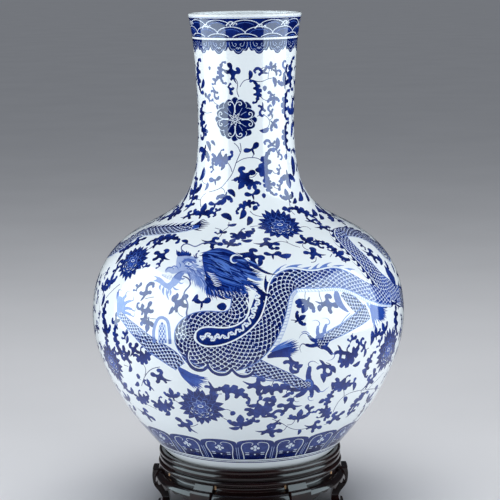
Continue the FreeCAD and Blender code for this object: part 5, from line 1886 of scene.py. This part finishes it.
# ----------------------------------------------------------------------------
# Floor, world, lights and camera, in metres
# ----------------------------------------------------------------------------
def make_floor(reach=60.0):
    mesh = bpy.data.meshes.new("floor")
    mesh.from_pydata([(-reach, -reach, 0), (reach, -reach, 0), (reach, reach, 0),
                      (-reach, reach, 0)], [], [(0, 1, 2, 3)])
    floor = bpy.data.objects.new("floor", mesh)
    bpy.context.scene.collection.objects.link(floor)
    give(floor, floor_matt())
    return floor


def make_world(ambient, backdrop, reflected):
    """Colours for diffuse light, for the camera and for reflections."""
    world = bpy.data.worlds.new("studio")
    bpy.context.scene.world = world
    world.use_nodes = True
    tree = world.node_tree
    background = tree.nodes["Background"]
    path = tree.nodes.new("ShaderNodeLightPath")
    seen = tree.nodes.new("ShaderNodeMix")
    seen.data_type = "RGBA"
    tree.links.new(path.outputs["Is Camera Ray"], seen.inputs[0])
    seen.inputs[6].default_value = ambient
    seen.inputs[7].default_value = backdrop
    glossy = tree.nodes.new("ShaderNodeMix")
    glossy.data_type = "RGBA"
    tree.links.new(path.outputs["Is Glossy Ray"], glossy.inputs[0])
    tree.links.new(seen.outputs[2], glossy.inputs[6])
    glossy.inputs[7].default_value = reflected
    tree.links.new(glossy.outputs[2], background.inputs[0])
    background.inputs[1].default_value = 1.0


def softbox(name, azimuth, distance, z, width, height, radiance, receivers,
            tint=(1, 1, 1), aim=None, glint=False):
    """Rectangular light, its azimuth in degrees from -Y towards +X.

    A glint light shows only in reflections; the others never do.
    """
    light = bpy.data.lights.new(name, "AREA")
    light.shape = "RECTANGLE"
    light.size, light.size_y = width, height
    light.energy = radiance * math.pi * width * height
    light.color = tint
    box = bpy.data.objects.new(name, light)
    a = math.radians(azimuth)
    box.location = (distance * math.sin(a), -distance * math.cos(a), z)
    target = Vector(aim or (0, 0, z))
    box.rotation_mode = "QUATERNION"
    box.rotation_quaternion = (target - box.location).to_track_quat("-Z", "Y")
    box.visible_camera = False
    bpy.context.scene.collection.objects.link(box)
    if glint:
        box.visible_diffuse = False
    else:
        box.visible_glossy = False
    box.light_linking.receiver_collection = receivers


def make_lights(floor):
    all_but_floor = bpy.data.collections.new("light_object_only")
    all_but_floor.objects.link(floor)
    all_but_floor.collection_objects[0].light_linking.link_state = "EXCLUDE"
    only_floor = bpy.data.collections.new("light_floor_only")
    only_floor.objects.link(floor)
    # azimuth and width of the fill, azimuth and width of the glint, height of both
    for side, fill_at, fill_width, glint_at, glint_width, height in (
            ("left", -72, 2.26, -75.5, 1.88, 1.74), ("right", 70, 2.10, 71.5, 1.80, 1.64)):
        softbox("softbox_%s_fill" % side, fill_at, distance=1.5, z=height / 2 + 0.01,
                width=fill_width, height=height, radiance=2.7, receivers=all_but_floor,
                tint=(0.97, 0.985, 1.0))
        softbox("softbox_%s_glint" % side, glint_at, distance=1.46, z=height / 2 + 0.01,
                width=glint_width, height=height, radiance=3.2, receivers=all_but_floor,
                tint=(0.98, 1.20, 1.30), glint=True)
    softbox("ceiling", 0, distance=0.2, z=2.6, width=1.6, height=1.2, radiance=1.3,
            receivers=all_but_floor, aim=(0, 0, 0.3))
    softbox("floor_wash", 0, distance=0.25, z=2.2, width=1.9, height=1.9, radiance=3.6,
            receivers=only_floor, aim=(0, -0.25, 0.0))


def make_camera(sensor=36.0):
    """Camera at the point the painting is thrown from."""
    data = bpy.data.cameras.new("camera")
    camera = bpy.data.objects.new("camera", data)
    bpy.context.scene.collection.objects.link(camera)
    data.sensor_width = sensor
    data.lens = sensor * SHEET_DISTANCE / SHEET_WIDTH
    data.shift_x = (SHEET_WIDTH / 2 - SHEET_X) / SHEET_WIDTH
    data.clip_start, data.clip_end = 0.05, 200.0
    camera.location = (0.0, -CAMERA_BACK / 1000.0, CAMERA_HEIGHT / 1000.0)
    camera.rotation_mode = "QUATERNION"
    look = Vector((0.0, math.cos(CAMERA_PITCH), -math.sin(CAMERA_PITCH)))
    roll = Quaternion((0, 0, 1), -CAMERA_ROLL)
    camera.rotation_quaternion = look.to_track_quat("-Z", "Y") @ roll
    bpy.context.scene.camera = camera


decorate()
vase = make_vase()
give(vase, porcelain())
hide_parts("vase_body")
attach(vase, "vase")
give(pieces["vase_body"], vase.data.materials[0])
dress_stand()

floor = make_floor()
make_world(ambient=(0.24, 0.25, 0.27, 1), backdrop=(0.171, 0.181, 0.202, 1),
           reflected=(0.035, 0.038, 0.045, 1))
make_lights(floor)
make_camera()
bpy.context.scene.view_settings.view_transform = "Standard"
